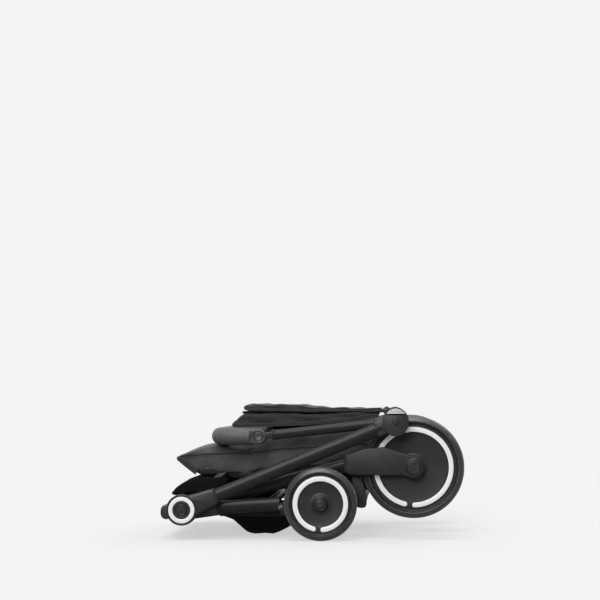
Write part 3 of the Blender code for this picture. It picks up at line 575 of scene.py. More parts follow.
cabinCloth = clothMaterial("cabinCloth", {
    "Base": (0.0330, 0.0330, 0.0336), "Faded": (0.0740, 0.0740, 0.0750), "Threads": 1100.0, "Roughness": 0.50,
    "Creases": 20.0, "CreaseDepth": 0.0035, "Depth": 0.0003, "Sheen": 0.14, "Specular": 0.20})
# the darkest cloth: a black fabric whose tone also carries painted shade, set to the tone the basket and the
# front apron have where they sit in shade
lowClothPaintedShade = clothMaterial("lowClothPaintedShade", {
    "Base": (0.0030, 0.0030, 0.0032), "Faded": (0.0065, 0.0065, 0.0070), "Threads": 620.0, "Roughness": 0.80,
    "Creases": 14.0, "CreaseDepth": 0.004, "Depth": 0.0004, "Sheen": 0.0, "Specular": 0.08})
bindingTape = clothMaterial("bindingTape", {
    "Base": (0.013, 0.013, 0.014), "Faded": (0.022, 0.022, 0.024), "Threads": 520.0, "Roughness": 0.66,
    "Creases": 60.0, "CreaseDepth": 0.0006, "Depth": 0.0005, "Sheen": 0.10, "Specular": 0.25})
stitchThread = hardMaterial("stitchThread", {
    "Base": (0.050, 0.050, 0.052), "Worn": (0.085, 0.085, 0.088), "Wear": 0.4, "Rub": 0.0, "Roughness": 0.60,
    "Spread": 0.2, "Grain Size": 2500.0, "Cloud Size": 200.0, "Strength": 0.3, "Depth": 0.0002})
boardVinyl = hardMaterial("boardVinyl", {
    "Base": (0.030, 0.030, 0.031), "Worn": (0.055, 0.054, 0.053), "Wear": 0.3, "Rub": 0.2, "Roughness": 0.55,
    "Spread": 0.2, "Grain Size": 800.0, "Cloud Size": 22.0, "Strength": 0.35, "Depth": 0.0004})
for name in ("hub_bolt_left", "hub_bolt_right", "handle_bolt_left", "handle_bolt_right", "grip_core"):
    frame["nodes"][name].data.materials.clear()
    frame["nodes"][name].data.materials.append(screwSteel)
print("stage: materials done")

makeCamera(view)
makeStudio(studio)
print("stage: camera, floor and light done")


# ---- stitching

def stitches(name, path, outward, s):
    # short thread beads every pitch along a path, each a six-sided spindle lifted outward by half its radius
    path, outward = np.asarray(path, float), unit(np.broadcast_to(np.asarray(outward, float), np.shape(path)))
    run = np.concatenate([[0], np.cumsum(np.linalg.norm(np.diff(path, axis=0), axis=1))])
    count = int(run[-1] / s["pitch"])
    middles = (np.arange(count) + 0.5) * run[-1] / count
    pick = lambda where, values: np.stack([np.interp(where, run, values[:, i]) for i in range(3)], axis=1)
    spots, lift = pick(middles, path), unit(pick(middles, outward))
    way = unit(pick(middles + 0.0005, path) - pick(middles - 0.0005, path))
    aside = unit(np.cross(way, lift))
    along = np.array([-0.5, -0.32, 0.32, 0.5]) * s["length"]
    girth = np.array([0.15, 1.0, 1.0, 0.15]) * s["radius"]
    angle = np.linspace(0, 2 * math.pi, 6, endpoint=False)
    ring = (spots[:, None, None] + way[:, None, None] * along[None, :, None, None]
            + lift[:, None, None] * (s["radius"] * 0.5 + girth[None, :, None]
                                     * np.sin(angle)[None, None])[..., None]
            + aside[:, None, None] * (girth[None, :, None] * np.cos(angle)[None, None])[..., None])
    r, c = np.arange(3)[:, None], np.arange(6)[None, :]
    quads = np.stack([r * 6 + c, r * 6 + (c + 1) % 6, (r + 1) * 6 + (c + 1) % 6, (r + 1) * 6 + c],
                     -1).reshape(-1, 4)
    starts = np.arange(count)[:, None, None] * 24
    faces = (quads[None] + starts).reshape(-1, 4).tolist()
    faces += (np.arange(6)[::-1][None] + starts[:, 0]).tolist()
    faces += (np.arange(18, 24)[None] + starts[:, 0]).tolist()
    piece = newPiece(name, ring.reshape(-1, 3).tolist(), faces)
    return tidyMesh(piece, 60.0)


# ---- upper frame: hub covers, tubes and handle housings

hubCoverSize = {"radius": 0.035, "lip": 0.0022, "dish": 0.0010, "ringIn": 0.0205, "ringOut": 0.0296,
                "cap": 0.0130, "socketNear": 0.012, "socketFar": 0.0866, "heightNear": 0.052,
                "heightFar": 0.0355}


def makeHubCover(side, body, s):
    # a dished disc with a raised rim, a reflecting ring and a round
    # cap; its tapered socket holds the upper tube
    word = sides[0][0] if side < 0 else sides[1][0]
    inner, outer = layerOf("hub_cover_left")
    face, tubeOuter = outer - 0.0022, layerOf("upper_tube_left")[1]
    lip, dish = s["lip"], s["dish"]
    disc = softLoop([(0.0, inner), (s["radius"] - 0.001, inner), (s["radius"], inner + 0.001),
                     (s["radius"], face - 0.0016), (s["radius"] - 0.0016, face + 0.0004),
                     (s["radius"] - lip - 0.0010, face + 0.0004), (s["radius"] - lip - 0.0018, face - dish),
                     (s["ringIn"] - 0.0012, face - dish), (s["ringIn"] - 0.0022, face + 0.0002),
                     (s["cap"] + 0.0018, face + 0.0002), (s["cap"] + 0.0010, face - dish),
                     (0.0, face - dish)],
                    0.0007)
    cover = turned(f"hubDisc_{word}", hub, side, disc)
    settle(cover, body, mouldedPlastic, f"hub_cover_{word}", slot="black_plastic")
    ring = turned(f"hubReflector_{word}", hub, side, softLoop(
        [(s["ringIn"], face - dish - 0.0006), (s["ringOut"], face - dish - 0.0006),
         (s["ringOut"], face + 0.0011), (s["ringIn"], face + 0.0011)], 0.0006))
    settle(ring, body, reflector)
    cap = turned(f"hubCap_{word}", hub, side, softLoop(
        [(0.0, face - 0.002), (s["cap"], face - 0.002), (s["cap"], face + 0.0012),
         (s["cap"] - 0.0022, face + 0.0020), (s["cap"] - 0.0034, face + 0.0012), (0.004, face + 0.0015),
         (0.0, face + 0.0016)], 0.0008))
    settle(cap, body, wheelPlastic)
    socket = plate(f"hubSocket_{word}", legOutline(hub, handlePivot, s["socketNear"], s["socketFar"],
                   s["heightNear"], s["heightFar"]), inner + 0.0002, face - 0.0004, side, edge=0.0055,
                   corner=0.010)
    settle(socket, body, mouldedPlastic)
    lipPath = legOutline(hub, handlePivot, s["socketFar"] - 0.0065, s["socketFar"], 0.0362, 0.0358)
    collar = plate(f"hubSocketLip_{word}", lipPath, inner - 0.0002, tubeOuter + 0.0009, side, edge=0.0030,
                   corner=0.002)
    settle(collar, body, mouldedPlastic)


ovalTube = {"height": 0.031, "width": 0.018, "power": 2.25}


def makeTube(name, start, end, near, far, layer, body, s, *nodes):
    # an oval tube between two side-view points, its wide section standing up
    a, b = alongLeg(start, end, near, far)
    centre = sum(layer) / 2
    run = np.linspace(0, 1, 24)[:, None]
    side = -1.0 if name.endswith("left") else 1.0
    path = place3(a, side * centre) * (1 - run) + place3(b, side * centre) * run
    tube = sweep(name, path, s["width"] / 2, s["height"] / 2, sideAxis, s["power"], steps=64)
    return settle(tube, body, framePaint, *nodes, slot="frame_tube")


housingSize = {"radius": 0.0325, "squeeze": 0.90, "pocket": 0.0307, "pocketHalf": 59.0, "button": 0.0298,
               "buttonHalf": 56.0, "sleeveNear": 0.010, "heightNear": 0.0345, "heightFar": 0.0370,
               "screwHead": 0.0046, "washer": 0.0078}


def arcPoints(centre, radius, low, high, steps, squeeze=1.0):
    # side-view arc; degrees from straight up, clockwise
    turn = np.radians(np.linspace(low, high, steps))
    return np.stack([centre[0] + radius * np.sin(turn) * squeeze, centre[1] + radius * np.cos(turn)], axis=1)


def makeScrew(name, centre, side, base, body, s):
    # a socket-head screw: domed rim, a six-sided recess with a floor below its rim
    radius, key = s["screwHead"], s["screwHead"] * 0.5
    angle = np.linspace(0, 2 * math.pi, 48, endpoint=False)
    hexagon = key / np.cos((angle % (math.pi / 3)) - math.pi / 6)
    rings = [(np.zeros(48), 0.0), (np.full(48, radius), 0.0), (np.full(48, radius), 0.0018),
             (np.full(48, radius * 0.86), 0.0026), (hexagon * 1.06, 0.0027), (hexagon, 0.0024),
             (hexagon, 0.0006), (np.zeros(48), 0.0004)]
    grid = np.stack([np.stack([centre[0] + r * np.cos(angle), np.full(48, side * (base + h)),
                               centre[1] + r * np.sin(angle)], axis=1) for r, h in rings])
    return settle(gridPiece(name, grid, False, True, sharp=30.0), body, screwSteel)


def makeHousing(side, body, s):
    # a round housing over the handle's hinge with a half-moon button in
    # a pocket, a screw, and a socket to the tube
    word = "left" if side < 0 else "right"
    inner, outer = layerOf("handle_housing_left")
    floor = layerOf("release_button_left")[0] - 0.0015
    wholeTurn = arcPoints(handlePivot, s["radius"], 0, 354, 60, s["squeeze"])
    base = plate(f"housingBase_{word}", wholeTurn, inner, floor - 0.0002, side, edge=0.0012, corner=0.0010)
    settle(base, body, mouldedPlastic, f"handle_housing_{word}", slot="black_plastic")
    low = arcPoints(handlePivot, s["radius"], s["pocketHalf"] + 1.5, 360 - s["pocketHalf"] - 1.5, 60,
                    s["squeeze"])
    face = plate(f"housingFace_{word}", low, floor - 0.002, outer, side, edge=0.0016, corner=0.0008)
    settle(face, body, mouldedPlastic)
    wide, squeeze = s["pocketHalf"] + 4, s["squeeze"]
    rim = np.concatenate([arcPoints(handlePivot, s["radius"], -wide, wide, 40, squeeze),
                          arcPoints(handlePivot, s["pocket"], wide, -wide, 40, squeeze)])
    wall = plate(f"housingRim_{word}", rim, floor - 0.002, outer - 0.0004, side, edge=0.0006, corner=0.0004)
    settle(wall, body, mouldedPlastic)
    socket = plate(f"housingSocket_{word}", legOutline(handlePivot, hub, s["sleeveNear"], 0.0500,
                   s["heightNear"], s["heightFar"]), inner + 0.0002, outer - 0.0022, side, edge=0.0050,
                   corner=0.008)
    settle(socket, body, mouldedPlastic)
    washer = turned(f"housingWasher_{word}", handlePivot, side, softLoop(
        [(0.0, outer - 0.001), (s["washer"], outer - 0.001), (s["washer"], outer + 0.0004),
         (s["washer"] - 0.0012, outer + 0.0010), (0.0, outer + 0.0010)], 0.0005))
    settle(washer, body, wheelPlastic)
    makeScrew(f"housingScrew_{word}", handlePivot, side, outer + 0.0004, body, s)
    moon = arcPoints(handlePivot, s["button"], -s["buttonHalf"], s["buttonHalf"], 40, squeeze)
    buttonLow, buttonHigh = layerOf("release_button_left")
    button = plate(f"releaseButton_{word}", moon, buttonLow, buttonHigh + 0.0004, side, edge=0.0014,
                   corner=0.0012)
    settle(button, f"release_button_{word}", buttonPlastic, f"release_button_{word}", slot="button_grey")
    ribs = [(-0.30, 0.0238), (0.0, 0.0244), (0.30, 0.0238)]
    for index, (lean, height) in enumerate(ribs):
        middle = handlePivot + np.array([math.sin(lean), math.cos(lean)]) * height
        half = 0.0052 - 0.0008 * abs(index - 1)
        bar = [middle + np.array([-half * 0.7, -0.0006]), middle + np.array([half * 0.7, -0.0006]),
               middle + np.array([half * 0.7, 0.0006]), middle + np.array([-half * 0.7, 0.0006])]
        rib = plate(f"releaseRib_{word}_{index}", bar, buttonHigh, buttonHigh + 0.0009, side, edge=0.0004,
                    corner=0.0005)
        settle(rib, f"release_button_{word}", buttonPlastic)


legLength = float(np.linalg.norm(handlePivot - hub))
for word, side in sides:
    makeHubCover(side, "upper_frame", hubCoverSize)
    makeTube(f"upperTube_{word}", hub, handlePivot, 0.070, legLength - 0.034, layerOf("upper_tube_left"),
             "upper_frame", ovalTube, f"upper_tube_{word}")
    makeHousing(side, "upper_frame", housingSize)
print("stage: upper frame done")


# ---- push handle and grip

armSize = {"height": 0.022, "width": 0.0135, "power": 2.2}
handleSize = {"radius": 0.026, "sleeveNear": 0.006, "sleeveFar": 0.048, "heightNear": 0.036,
              "heightFar": 0.0255, "lug": 0.0088, "eye": 0.0140, "neck": 0.0125}
gripSize = {"foam": 0.0185, "plump": 0.0012, "yoke": 0.0172, "button": 0.0100, "corner": 0.050,
            "forward": 0.0035}
armLength = float(np.linalg.norm(gripPivot - handlePivot))


def makeHandleSide(side, s):
    # a hinge disc with a socket for the arm, a small arm up to the
    # canopy's hinge, and a tongue under the grip
    word = "left" if side < 0 else "right"
    inner, outer = layerOf("handle_hub_left")[0], layerOf("handle_arm_left")[1]
    hubLow, hubHigh = layerOf("handle_arm_left")[0] - 0.0004, outer + 0.0002
    disc = turned(f"handleDisc_{word}", handlePivot, side, softLoop(
        [(0.0, hubLow), (s["radius"] - 0.0015, hubLow), (s["radius"], hubLow + 0.0015),
         (s["radius"], hubHigh - 0.0012), (s["radius"] - 0.0012, hubHigh), (0.0, hubHigh)], 0.0010))
    settle(disc, "handle", mouldedPlastic, f"handle_hub_{word}", slot="black_plastic")
    socket = plate(f"handleSocket_{word}", legOutline(handlePivot, gripPivot, s["sleeveNear"],
                                                      s["sleeveFar"] + 0.002,
                   s["heightNear"], s["heightFar"]), hubLow + 0.0002, hubHigh - 0.0002, side, edge=0.0034,
                   corner=0.007)
    settle(socket, "handle", mouldedPlastic)
    lug = plate(f"canopyLug_{word}", np.concatenate([
        arcPoints(canopyPivot, s["lug"], -95, 75, 24),
        arcPoints(handlePivot, s["radius"] - 0.001, 40, -60, 24)]),
        hubLow + 0.0006, hubHigh - 0.0006, side, edge=0.0018, corner=0.001)
    settle(lug, "handle", mouldedPlastic)
    pin = turned(f"canopyPin_{word}", canopyPivot, side, softLoop(
        [(0.0, inner), (0.0028, inner), (0.0030, inner + 0.0004), (0.0030, hubHigh), (0.0052, hubHigh),
         (0.0052, hubHigh + 0.0007), (0.0038, hubHigh + 0.0013), (0.0, hubHigh + 0.0014)], 0.0003), steps=40)
    settle(pin, "handle", screwSteel)
    makeTube(f"handleArm_{word}", handlePivot, gripPivot, 0.040, armLength - 0.030,
             layerOf("handle_arm_left"), "handle", armSize, f"handle_arm_{word}")
    eyeLow, eyeHigh = layerOf("grip_yoke_left")[0] + 0.0085, layerOf("grip_yoke_left")[0] + 0.0165
    eye = turned(f"handleEye_{word}", gripPivot, side, softLoop(
        [(0.0, eyeLow), (s["eye"], eyeLow), (s["eye"], eyeHigh), (0.0, eyeHigh)], 0.0012), steps=64)
    settle(eye, "handle", mouldedPlastic, f"handle_tongue_{word}", slot="black_plastic")
    neck = plate(f"handleNeck_{word}", legOutline(gripPivot, handlePivot, 0.004, 0.034, s["neck"],
                                                  s["neck"] + 0.004),
                 eyeLow, eyeHigh, side, edge=0.0014, corner=0.002)
    settle(neck, "handle", mouldedPlastic)
    armLow, armHigh = layerOf("handle_arm_left")
    lip = plate(f"handleTongueLip_{word}", legOutline(gripPivot, handlePivot, 0.0315, 0.0375, 0.0236, 0.0240),
                armLow - 0.0004, armHigh + 0.0004, side, edge=0.0022, corner=0.0015)
    settle(lip, "handle", mouldedPlastic)


def yokeReach(turn, yoke, far):
    # distance from the pivot to a round-ended outline: yoke behind it,
    # and a straight-sided bar up to far ahead of it
    across = yoke / np.maximum(np.abs(np.sin(turn)), 1e-6)
    ahead = far / np.maximum(np.cos(turn), 1e-6)
    return np.where(np.cos(turn) <= 0, yoke, np.minimum(across, ahead))


def makeGrip(s):
    # one padded U of leatherette round a core tube, seamed along its inner side, with a yoke at each end
    low, high = nodeBox("grip_foam")
    backX, frontX, half, level = high[0], low[0] + s["foam"], high[1] - s["foam"], (low[2] + high[2]) / 2
    route = uRoute(backX + 0.004, frontX - s["forward"], half, s["corner"], level, level)
    ends = np.linspace(0, 1, len(route))
    puff = (s["foam"] + s["plump"]) * (1.0 - 0.09 * np.exp(-ends / 0.008) - 0.09 * np.exp(-(1 - ends) / 0.008)
                        + 0.008 * np.sin(ends * 61.0) * np.sin(ends * 23.0 + 0.7))
    foam = sweep("gripPad", route, puff, puff, upAxis, 2.0, steps=72)
    settle(foam, "grip", gripLeather, "grip_foam", slot="grip_foam")
    ahead = unit(np.gradient(route, axis=0))
    inward = np.cross(upAxis, ahead)
    inward *= np.sign(np.sum(inward * (np.array([backX, 0, level]) - route), axis=1))[:, None]
    for name, lift in (("gripStitchUpper", 0.42), ("gripStitchLower", -0.42)):
        out = unit(inward * math.cos(lift) + upAxis * math.sin(lift) * 0.6)
        line = route + out * (puff[:, None] - 0.0003)
        settle(stitches(name, line[4:-4], out[4:-4], {"pitch": 0.0052, "length": 0.0036, "radius": 0.00055}),
               "grip", stitchThread)
    seamPath = route + inward * (puff[:, None] - 0.00055)
    settle(sweep("gripSeam", seamPath[2:-2], 0.0009, 0.0009, upAxis, 2.0, steps=10), "grip", gripLeather)
    for word, side in sides:
        yokeLow, yokeHigh = layerOf("grip_yoke_left")
        buttonLow, buttonHigh = layerOf("grip_button_left")
        pocket = buttonLow - 0.0013
        way = unit(np.array([backX - 0.006, level]) - gripPivot)
        over = np.array([-way[1], way[0]])
        turn = np.linspace(0, 2 * math.pi, 120, endpoint=False)
        ahead = np.cos(turn)[:, None] * way + np.sin(turn)[:, None] * over
        edge = yokeReach(turn, s["yoke"], 0.030)
        for part, a, b in (("Inner", yokeLow, yokeLow + 0.0080), ("Outer", yokeLow + 0.0170, pocket)):
            cheek = plate(f"gripYoke{part}_{word}", gripPivot + ahead * (edge[:, None] - 0.0002), a, b, side,
                          edge=0.0012, corner=0.0)
            settle(cheek, "grip", gripPlastic)
        hole = np.full(120, s["button"] + 0.0004)
        rings = [(hole, pocket - 0.0003), (edge, pocket - 0.0003), (edge, yokeHigh - 0.0030),
                 (edge - 0.0008, yokeHigh - 0.0012), (edge - 0.0030, yokeHigh), (hole + 0.0008, yokeHigh),
                 (hole, yokeHigh - 0.0008)]
        grid = np.stack([np.stack([gripPivot[0] + r * ahead[:, 0], np.full(120, side * h),
                                   gripPivot[1] + r * ahead[:, 1]], axis=1) for r, h in rings])
        settle(gridPiece(f"gripYokeFace_{word}", grid, True, True, sharp=50.0), "grip", gripPlastic)
        cup = [place3((backX + x, level), side * half) for x in (0.0085, 0.0060, 0.0030, 0.0)]
        girth = np.array([0.0110, 0.0135, 0.0150, 0.0150])
        cupPiece = sweep(f"gripCup_{word}", cup, girth, girth, upAxis, 2.3, steps=56)
        settle(cupPiece, "grip", gripPlastic, f"grip_yoke_{word}", slot="black_plastic")
        button = turned(f"gripButton_{word}", gripPivot, side, softLoop(
            [(0.0, buttonLow), (s["button"], buttonLow), (s["button"], buttonHigh - 0.0012),
             (s["button"] - 0.0014, buttonHigh), (s["button"] - 0.0030, buttonHigh - 0.0004),
             (0.0, buttonHigh - 0.0012)], 0.0008), steps=72)
        settle(button, f"grip_button_{word}", gripPlastic, f"grip_button_{word}", slot="black_plastic")


for word, side in sides:
    makeHandleSide(side, handleSize)
makeGrip(gripSize)
print("stage: handle and grip done")


# ---- front frame

frontSize = {"disc": 0.0300, "socketNear": 0.012, "socketFar": 0.0820, "heightNear": 0.048,
             "heightFar": 0.0355, "bar": 0.0112, "housing": 0.0142, "screwAt": 0.055}
bodyRoot = "front_frame"


def makeFrontSide(side, s):
    # a hub disc, a socket with a clamping screw, an oval leg and the caster's bearing at its foot
    word = "left" if side < 0 else "right"
    inner, outer = layerOf("front_hub_left")
    foot = casterTop + np.array([-0.030, -0.0012])
    disc = turned(f"frontDisc_{word}", hub, side, softLoop(
        [(0.0, inner), (s["disc"] - 0.001, inner), (s["disc"], inner + 0.001), (s["disc"], outer - 0.001),
         (s["disc"] - 0.001, outer), (0.0, outer)], 0.0008))
    settle(disc, bodyRoot, mouldedPlastic, f"front_hub_{word}", slot="black_plastic")
    socket = plate(f"frontSocket_{word}", legOutline(hub, foot, s["socketNear"], s["socketFar"],
                                                     s["heightNear"],
                   s["heightFar"]), inner + 0.0002, outer - 0.0002, side, edge=0.0055, corner=0.008)
    settle(socket, bodyRoot, mouldedPlastic)
    lip = plate(f"frontSocketLip_{word}", legOutline(hub, foot, s["socketFar"] - 0.006,
                                                     s["socketFar"] + 0.0004,
                0.0362, 0.0360), inner, outer, side, edge=0.0028, corner=0.002)
    settle(lip, bodyRoot, mouldedPlastic)
    legRun = float(np.linalg.norm(foot - hub))
    makeTube(f"frontLeg_{word}", hub, foot, 0.060, legRun + 0.004, layerOf("front_leg_left"), bodyRoot,
             ovalTube, f"front_leg_{word}")
    way = unit(foot - hub)
    screwAt = hub + way * s["screwAt"] + np.array([-way[1], way[0]]) * 0.0030
    makeScrew(f"frontSocketScrew_{word}", screwAt, side, outer - 0.0016, bodyRoot,
              {"screwHead": 0.0042})
    top = place3(casterTop + casterAxis * 0.0172, side * (sum(layerOf("caster_housing_left")) / 2))
    bottom = place3(casterTop - casterAxis * 0.0172, side * (sum(layerOf("caster_housing_left")) / 2))
    run = np.array([0.0, 0.02, 0.06, 0.5, 0.94, 0.98, 1.0])[:, None]
    girth = s["housing"] * np.array([0.80, 0.93, 1.0, 0.985, 1.0, 0.93, 0.80])
    bearing = sweep(f"casterBearing_{word}", bottom * (1 - run) + top * run, girth, girth, sideAxis, 2.0,
                    steps=56)
    settle(bearing, bodyRoot, mouldedPlastic, f"caster_housing_{word}", slot="black_plastic")


def makeCrossBar(name, point, reach, radius, body, material, node, tall=None, power=2.0):
    # a straight tube from side to side with rounded ends; tall gives it an oval section
    tall = radius if tall is None else tall
    run = np.concatenate([[-1.0, -0.9985, -0.996, -0.990], np.linspace(-0.98, 0.98, 30),
                          [0.990, 0.996, 0.9985, 1.0]])
    near = 1.0 - np.array([0.22, 0.08, 0.02, 0.0])
    shape = np.concatenate([near, np.ones(30), near[::-1]])
    path = np.stack([np.full(len(run), point[0]), run * reach, np.full(len(run), point[1])], axis=1)
    bar = sweep(name, path, shape * radius, shape * tall, np.array([1.0, 0.0, 0.0]), power, steps=56)
    return settle(bar, body, material, node)


def midPoint(node):  # middle of a node's box in side view
    low, high = nodeBox(node)
    return np.array([(low[0] + high[0]) / 2, (low[2] + high[2]) / 2])


for word, side in sides:
    makeFrontSide(side, frontSize)
makeCrossBar("frontCrossTube", midPoint("front_cross_tube"), layerOf("front_cross_tube")[1],
             frontSize["bar"] - 0.0002, bodyRoot, framePaint, "front_cross_tube")
bumperLow, bumperHigh = nodeBox("front_bumper_bar")
makeCrossBar("bumperBar", midPoint("front_bumper_bar") - np.array([0.0030, 0.0]), bumperHigh[1],
             (bumperHigh[0] - bumperLow[0]) / 2 + 0.0030, bodyRoot, mouldedPlastic, "front_bumper_bar",
             tall=(bumperHigh[2] - bumperLow[2]) / 2, power=2.4)
print("stage: front frame done")


# ---- wheels, tyres and casters

frontWheel = {"ringIn": 0.0512, "ringOut": 0.0620, "boss": 0.0170, "tyre": 0.011, "gapAt": 5.0,
              "gapHalf": 5.2, "hubCap": 0.0105}
rearWheel = {"ringIn": 0.0796, "ringOut": 0.0904, "boss": 0.0220, "tyre": 0.013, "gapAt": 6.0, "gapHalf": 3.9,
             "hubCap": 0.0135}


def openRing(name, centre, side, inner, outer, low, high, gapAt, gapHalf, steps=150):
    # a flat ring with a gap near its lowest point; both ends are half round: the half width shrinks as
    # sqrt(1 - q^2), with q from 0 to 1 over the last half width of its length
    middle, half = (inner + outer) / 2, (outer - inner) / 2
    capTurn = half / middle
    start, end = math.radians(gapAt + gapHalf), math.radians(gapAt - gapHalf + 360.0)
    capRun = capTurn * (1 - np.cos(np.linspace(0, math.pi / 2, 10)))
    angle = np.concatenate([start + capRun, np.linspace(start + capTurn, end - capTurn, steps)[1:-1],
                            end - capRun[::-1]])
    q = np.clip(1 - np.minimum(angle - start, end - angle) / capTurn, 0, 1)
    spread = np.maximum(np.sqrt(np.maximum(1 - q ** 2, 0)), 0.02) * half
    turn = np.linspace(0, math.pi / 2, 4)
    edge = min(0.0006, (high - low) * 0.4)
    cut = np.concatenate([[0.0], edge * (1 - np.cos(turn))])
    level = np.concatenate([[low], high - edge * (1 - np.sin(turn))])
    insets = np.concatenate([cut, cut[::-1]])
    levels = np.concatenate([level, level[::-1]])
    signs = np.repeat([-1.0, 1.0], len(cut))
    radius = middle + signs[None] * np.maximum(spread[:, None] - insets[None], 0.0002)
    turnAll = angle[:, None]
    grid = np.stack([centre[0] - radius * np.sin(turnAll), np.broadcast_to(side * levels[None], radius.shape),
                     centre[1] - radius * np.cos(turnAll)], axis=-1)
    return gridPiece(name, grid, False, True, caps=True, sharp=40.0)


def makeWheel(end, word, side, centre, s):
    # a dished disc with a reflector seat, radial stiffening ribs between
    # rings, a boss with a cap, and a foam tyre
    body = f"{end}_wheel_{word}"
    low, high = layerOf(f"{end}_left_wheel")
    tyreLow, tyreHigh = nodeBox(f"{end}_left_tyre")
    outerRadius = (tyreHigh[0] - tyreLow[0]) / 2
    tyreInner, tyreOuter = -tyreHigh[1], -tyreLow[1]
    rimRadius = outerRadius - s["tyre"]
    face, back = tyreOuter - 0.0065, tyreOuter - 0.0135
    bore = 0.0054
    front = [(bore, back), (s["boss"] - 0.002, back), (rimRadius - 0.004, back),
             (rimRadius - 0.0036, low + 0.0006), (rimRadius - 0.0002, low + 0.0006),
             (rimRadius - 0.0002, face + 0.0036), (rimRadius - 0.0018, face + 0.0042),
             (rimRadius - 0.0034, face + 0.0030), (rimRadius - 0.0046, face - 0.0004),
             (s["ringOut"] + 0.0016, face - 0.0002), (s["ringOut"] + 0.0008, face + 0.0006),
             (s["ringIn"] - 0.0008, face + 0.0006), (s["ringIn"] - 0.0018, face - 0.0010),
             (s["boss"] * 1.42, face - 0.0022), (s["boss"] * 1.30, face - 0.0014),
             (s["boss"] * 1.06, face - 0.0012), (s["boss"], face - 0.0004),
             (s["boss"] - 0.0010, high - 0.0022), (s["boss"] - 0.0030, high - 0.0010),
             (s["hubCap"] + 0.0012, high - 0.0010), (s["hubCap"] + 0.0004, high - 0.0024),
             (bore, high - 0.0024)]
    disc = turned(f"{end}WheelDisc_{word}", centre, side, softLoop(front, 0.0010, steps=4), steps=128)
    settle(disc, body, wheelPlastic, f"{end}_{word}_wheel", slot="wheel_plastic")
    cap = turned(f"{end}WheelCap_{word}", centre, side, softLoop(
        [(0.0, high - 0.0030), (s["hubCap"], high - 0.0030), (s["hubCap"], high - 0.0010),
         (s["hubCap"] - 0.0014, high - 0.0001), (s["hubCap"] * 0.5, high + 0.0001), (0.0, high + 0.0001)],
         0.0009))
    settle(cap, body, mouldedPlastic)
    ring = openRing(f"{end}WheelReflector_{word}", centre, side, s["ringIn"], s["ringOut"], face,
                    face + 0.0016, s["gapAt"], s["gapHalf"])
    settle(ring, body, reflector)
    tread = outerRadius
    middle, half = (tyreInner + tyreOuter) / 2, (tyreOuter - tyreInner) / 2
    turn = np.linspace(-1.0, 1.0, 33)
    grooves = 0.0007 * np.exp(-((np.abs(turn) - 0.42) / 0.045) ** 2)
    crown = tread - 0.0105 * np.abs(turn) ** 2.4 - grooves
    outside = np.stack([crown, middle + turn * half * 0.97], axis=1)
    profile = np.concatenate([[(rimRadius, tyreInner + 0.0012)], outside,
                              [(rimRadius + 0.0010, tyreOuter - 0.0002), (rimRadius, tyreOuter - 0.0014)]])
    tyre = turned(f"{end}Tyre_{word}", centre, side, softLoop(profile, 0.0007, steps=3), steps=144,
                  sharp=50.0)
    settle(tyre, body, tyreFoam, f"{end}_{word}_tyre", slot="tyre_foam")
    ribs = 12
    for index in range(ribs):
        lean = 2 * math.pi * (index + 0.5) / ribs
        way = np.array([math.cos(lean), math.sin(lean)])
        tip, root = centre + way * (rimRadius - 0.003), centre + way * (s["boss"] - 0.002)
        rib = plate(f"{end}WheelRib_{word}_{index}", legOutline(root, tip, 0.0,
                                                                float(np.linalg.norm(tip - root)),
                    0.0034, 0.0024), low + 0.0030, back + 0.001, side, edge=0.0005, corner=0.0004)
        settle(rib, body, wheelPlastic)


casterSize = {"forkLow": 0.2310, "forkHigh": 0.2480, "crownTop": 0.0245, "armTop": 0.0250, "armFoot": 0.0300,
              "eye": 0.0160, "axle": 0.0050, "nut": 0.0064}


def makeCaster(word, side, s):
    # a stem in the bearing, a crown under it and one forged arm down to the axle
    body = f"front_caster_{word}"
    forkLow, forkHigh, eyeSize = s["forkLow"], s["forkHigh"], s["eye"]
    axleEnd = layerOf("front_left_wheel")[1] - 0.0034
    middle = sum(layerOf("caster_housing_left")) / 2
    crown = [place3(casterTop - casterAxis * drop, side * middle)
             for drop in (0.0176, 0.0186, 0.0215, 0.0290, 0.0300)]
    girth = np.array([0.0118, 0.0135, 0.0138, 0.0135, 0.0122])
    settle(sweep(f"casterCrown_{word}", crown, girth, girth, sideAxis, 2.0, steps=56), body, mouldedPlastic,
           f"front_fork_{word}", slot="black_plastic")
    stem = [place3(casterTop + casterAxis * d, side * middle) for d in (-0.020, 0.0, 0.0176, 0.0188)]
    settle(sweep(f"casterStem_{word}", stem, np.array([0.006, 0.006, 0.006, 0.0046]),
                 np.array([0.006, 0.006, 0.006, 0.0046]), sideAxis, 2.0, steps=32), body, screwSteel)
    start = casterTop - casterAxis * s["crownTop"]
    arm = plate(f"casterArm_{word}", legOutline(start, frontAxle, 0.0,
                                                float(np.linalg.norm(frontAxle - start)),
                s["armTop"], s["armFoot"]), forkLow, forkHigh, side, edge=0.0050, corner=0.006)
    settle(arm, body, mouldedPlastic)
    eye = turned(f"casterEye_{word}", frontAxle, side, softLoop(
        [(0.0, forkLow), (eyeSize - 0.001, forkLow), (eyeSize, forkLow + 0.001), (eyeSize, forkHigh - 0.001),
         (eyeSize - 0.001, forkHigh), (0.0, forkHigh)], 0.0009), steps=72)
    settle(eye, body, mouldedPlastic)
    axle = turned(f"casterAxle_{word}", frontAxle, side, softLoop(
        [(0.0, forkHigh - 0.008), (s["axle"], forkHigh - 0.008), (s["axle"], axleEnd), (0.0, axleEnd)],
        0.0004),
        steps=40)
    settle(axle, body, screwSteel)
    nut = turned(f"casterNut_{word}", frontAxle, side, softLoop(
        [(0.0, forkLow - 0.0012), (s["nut"], forkLow - 0.0012), (s["nut"], forkLow + 0.001),
         (0.0, forkLow + 0.001)],
        0.0006), steps=6, sharp=20.0)
    settle(nut, body, screwSteel)


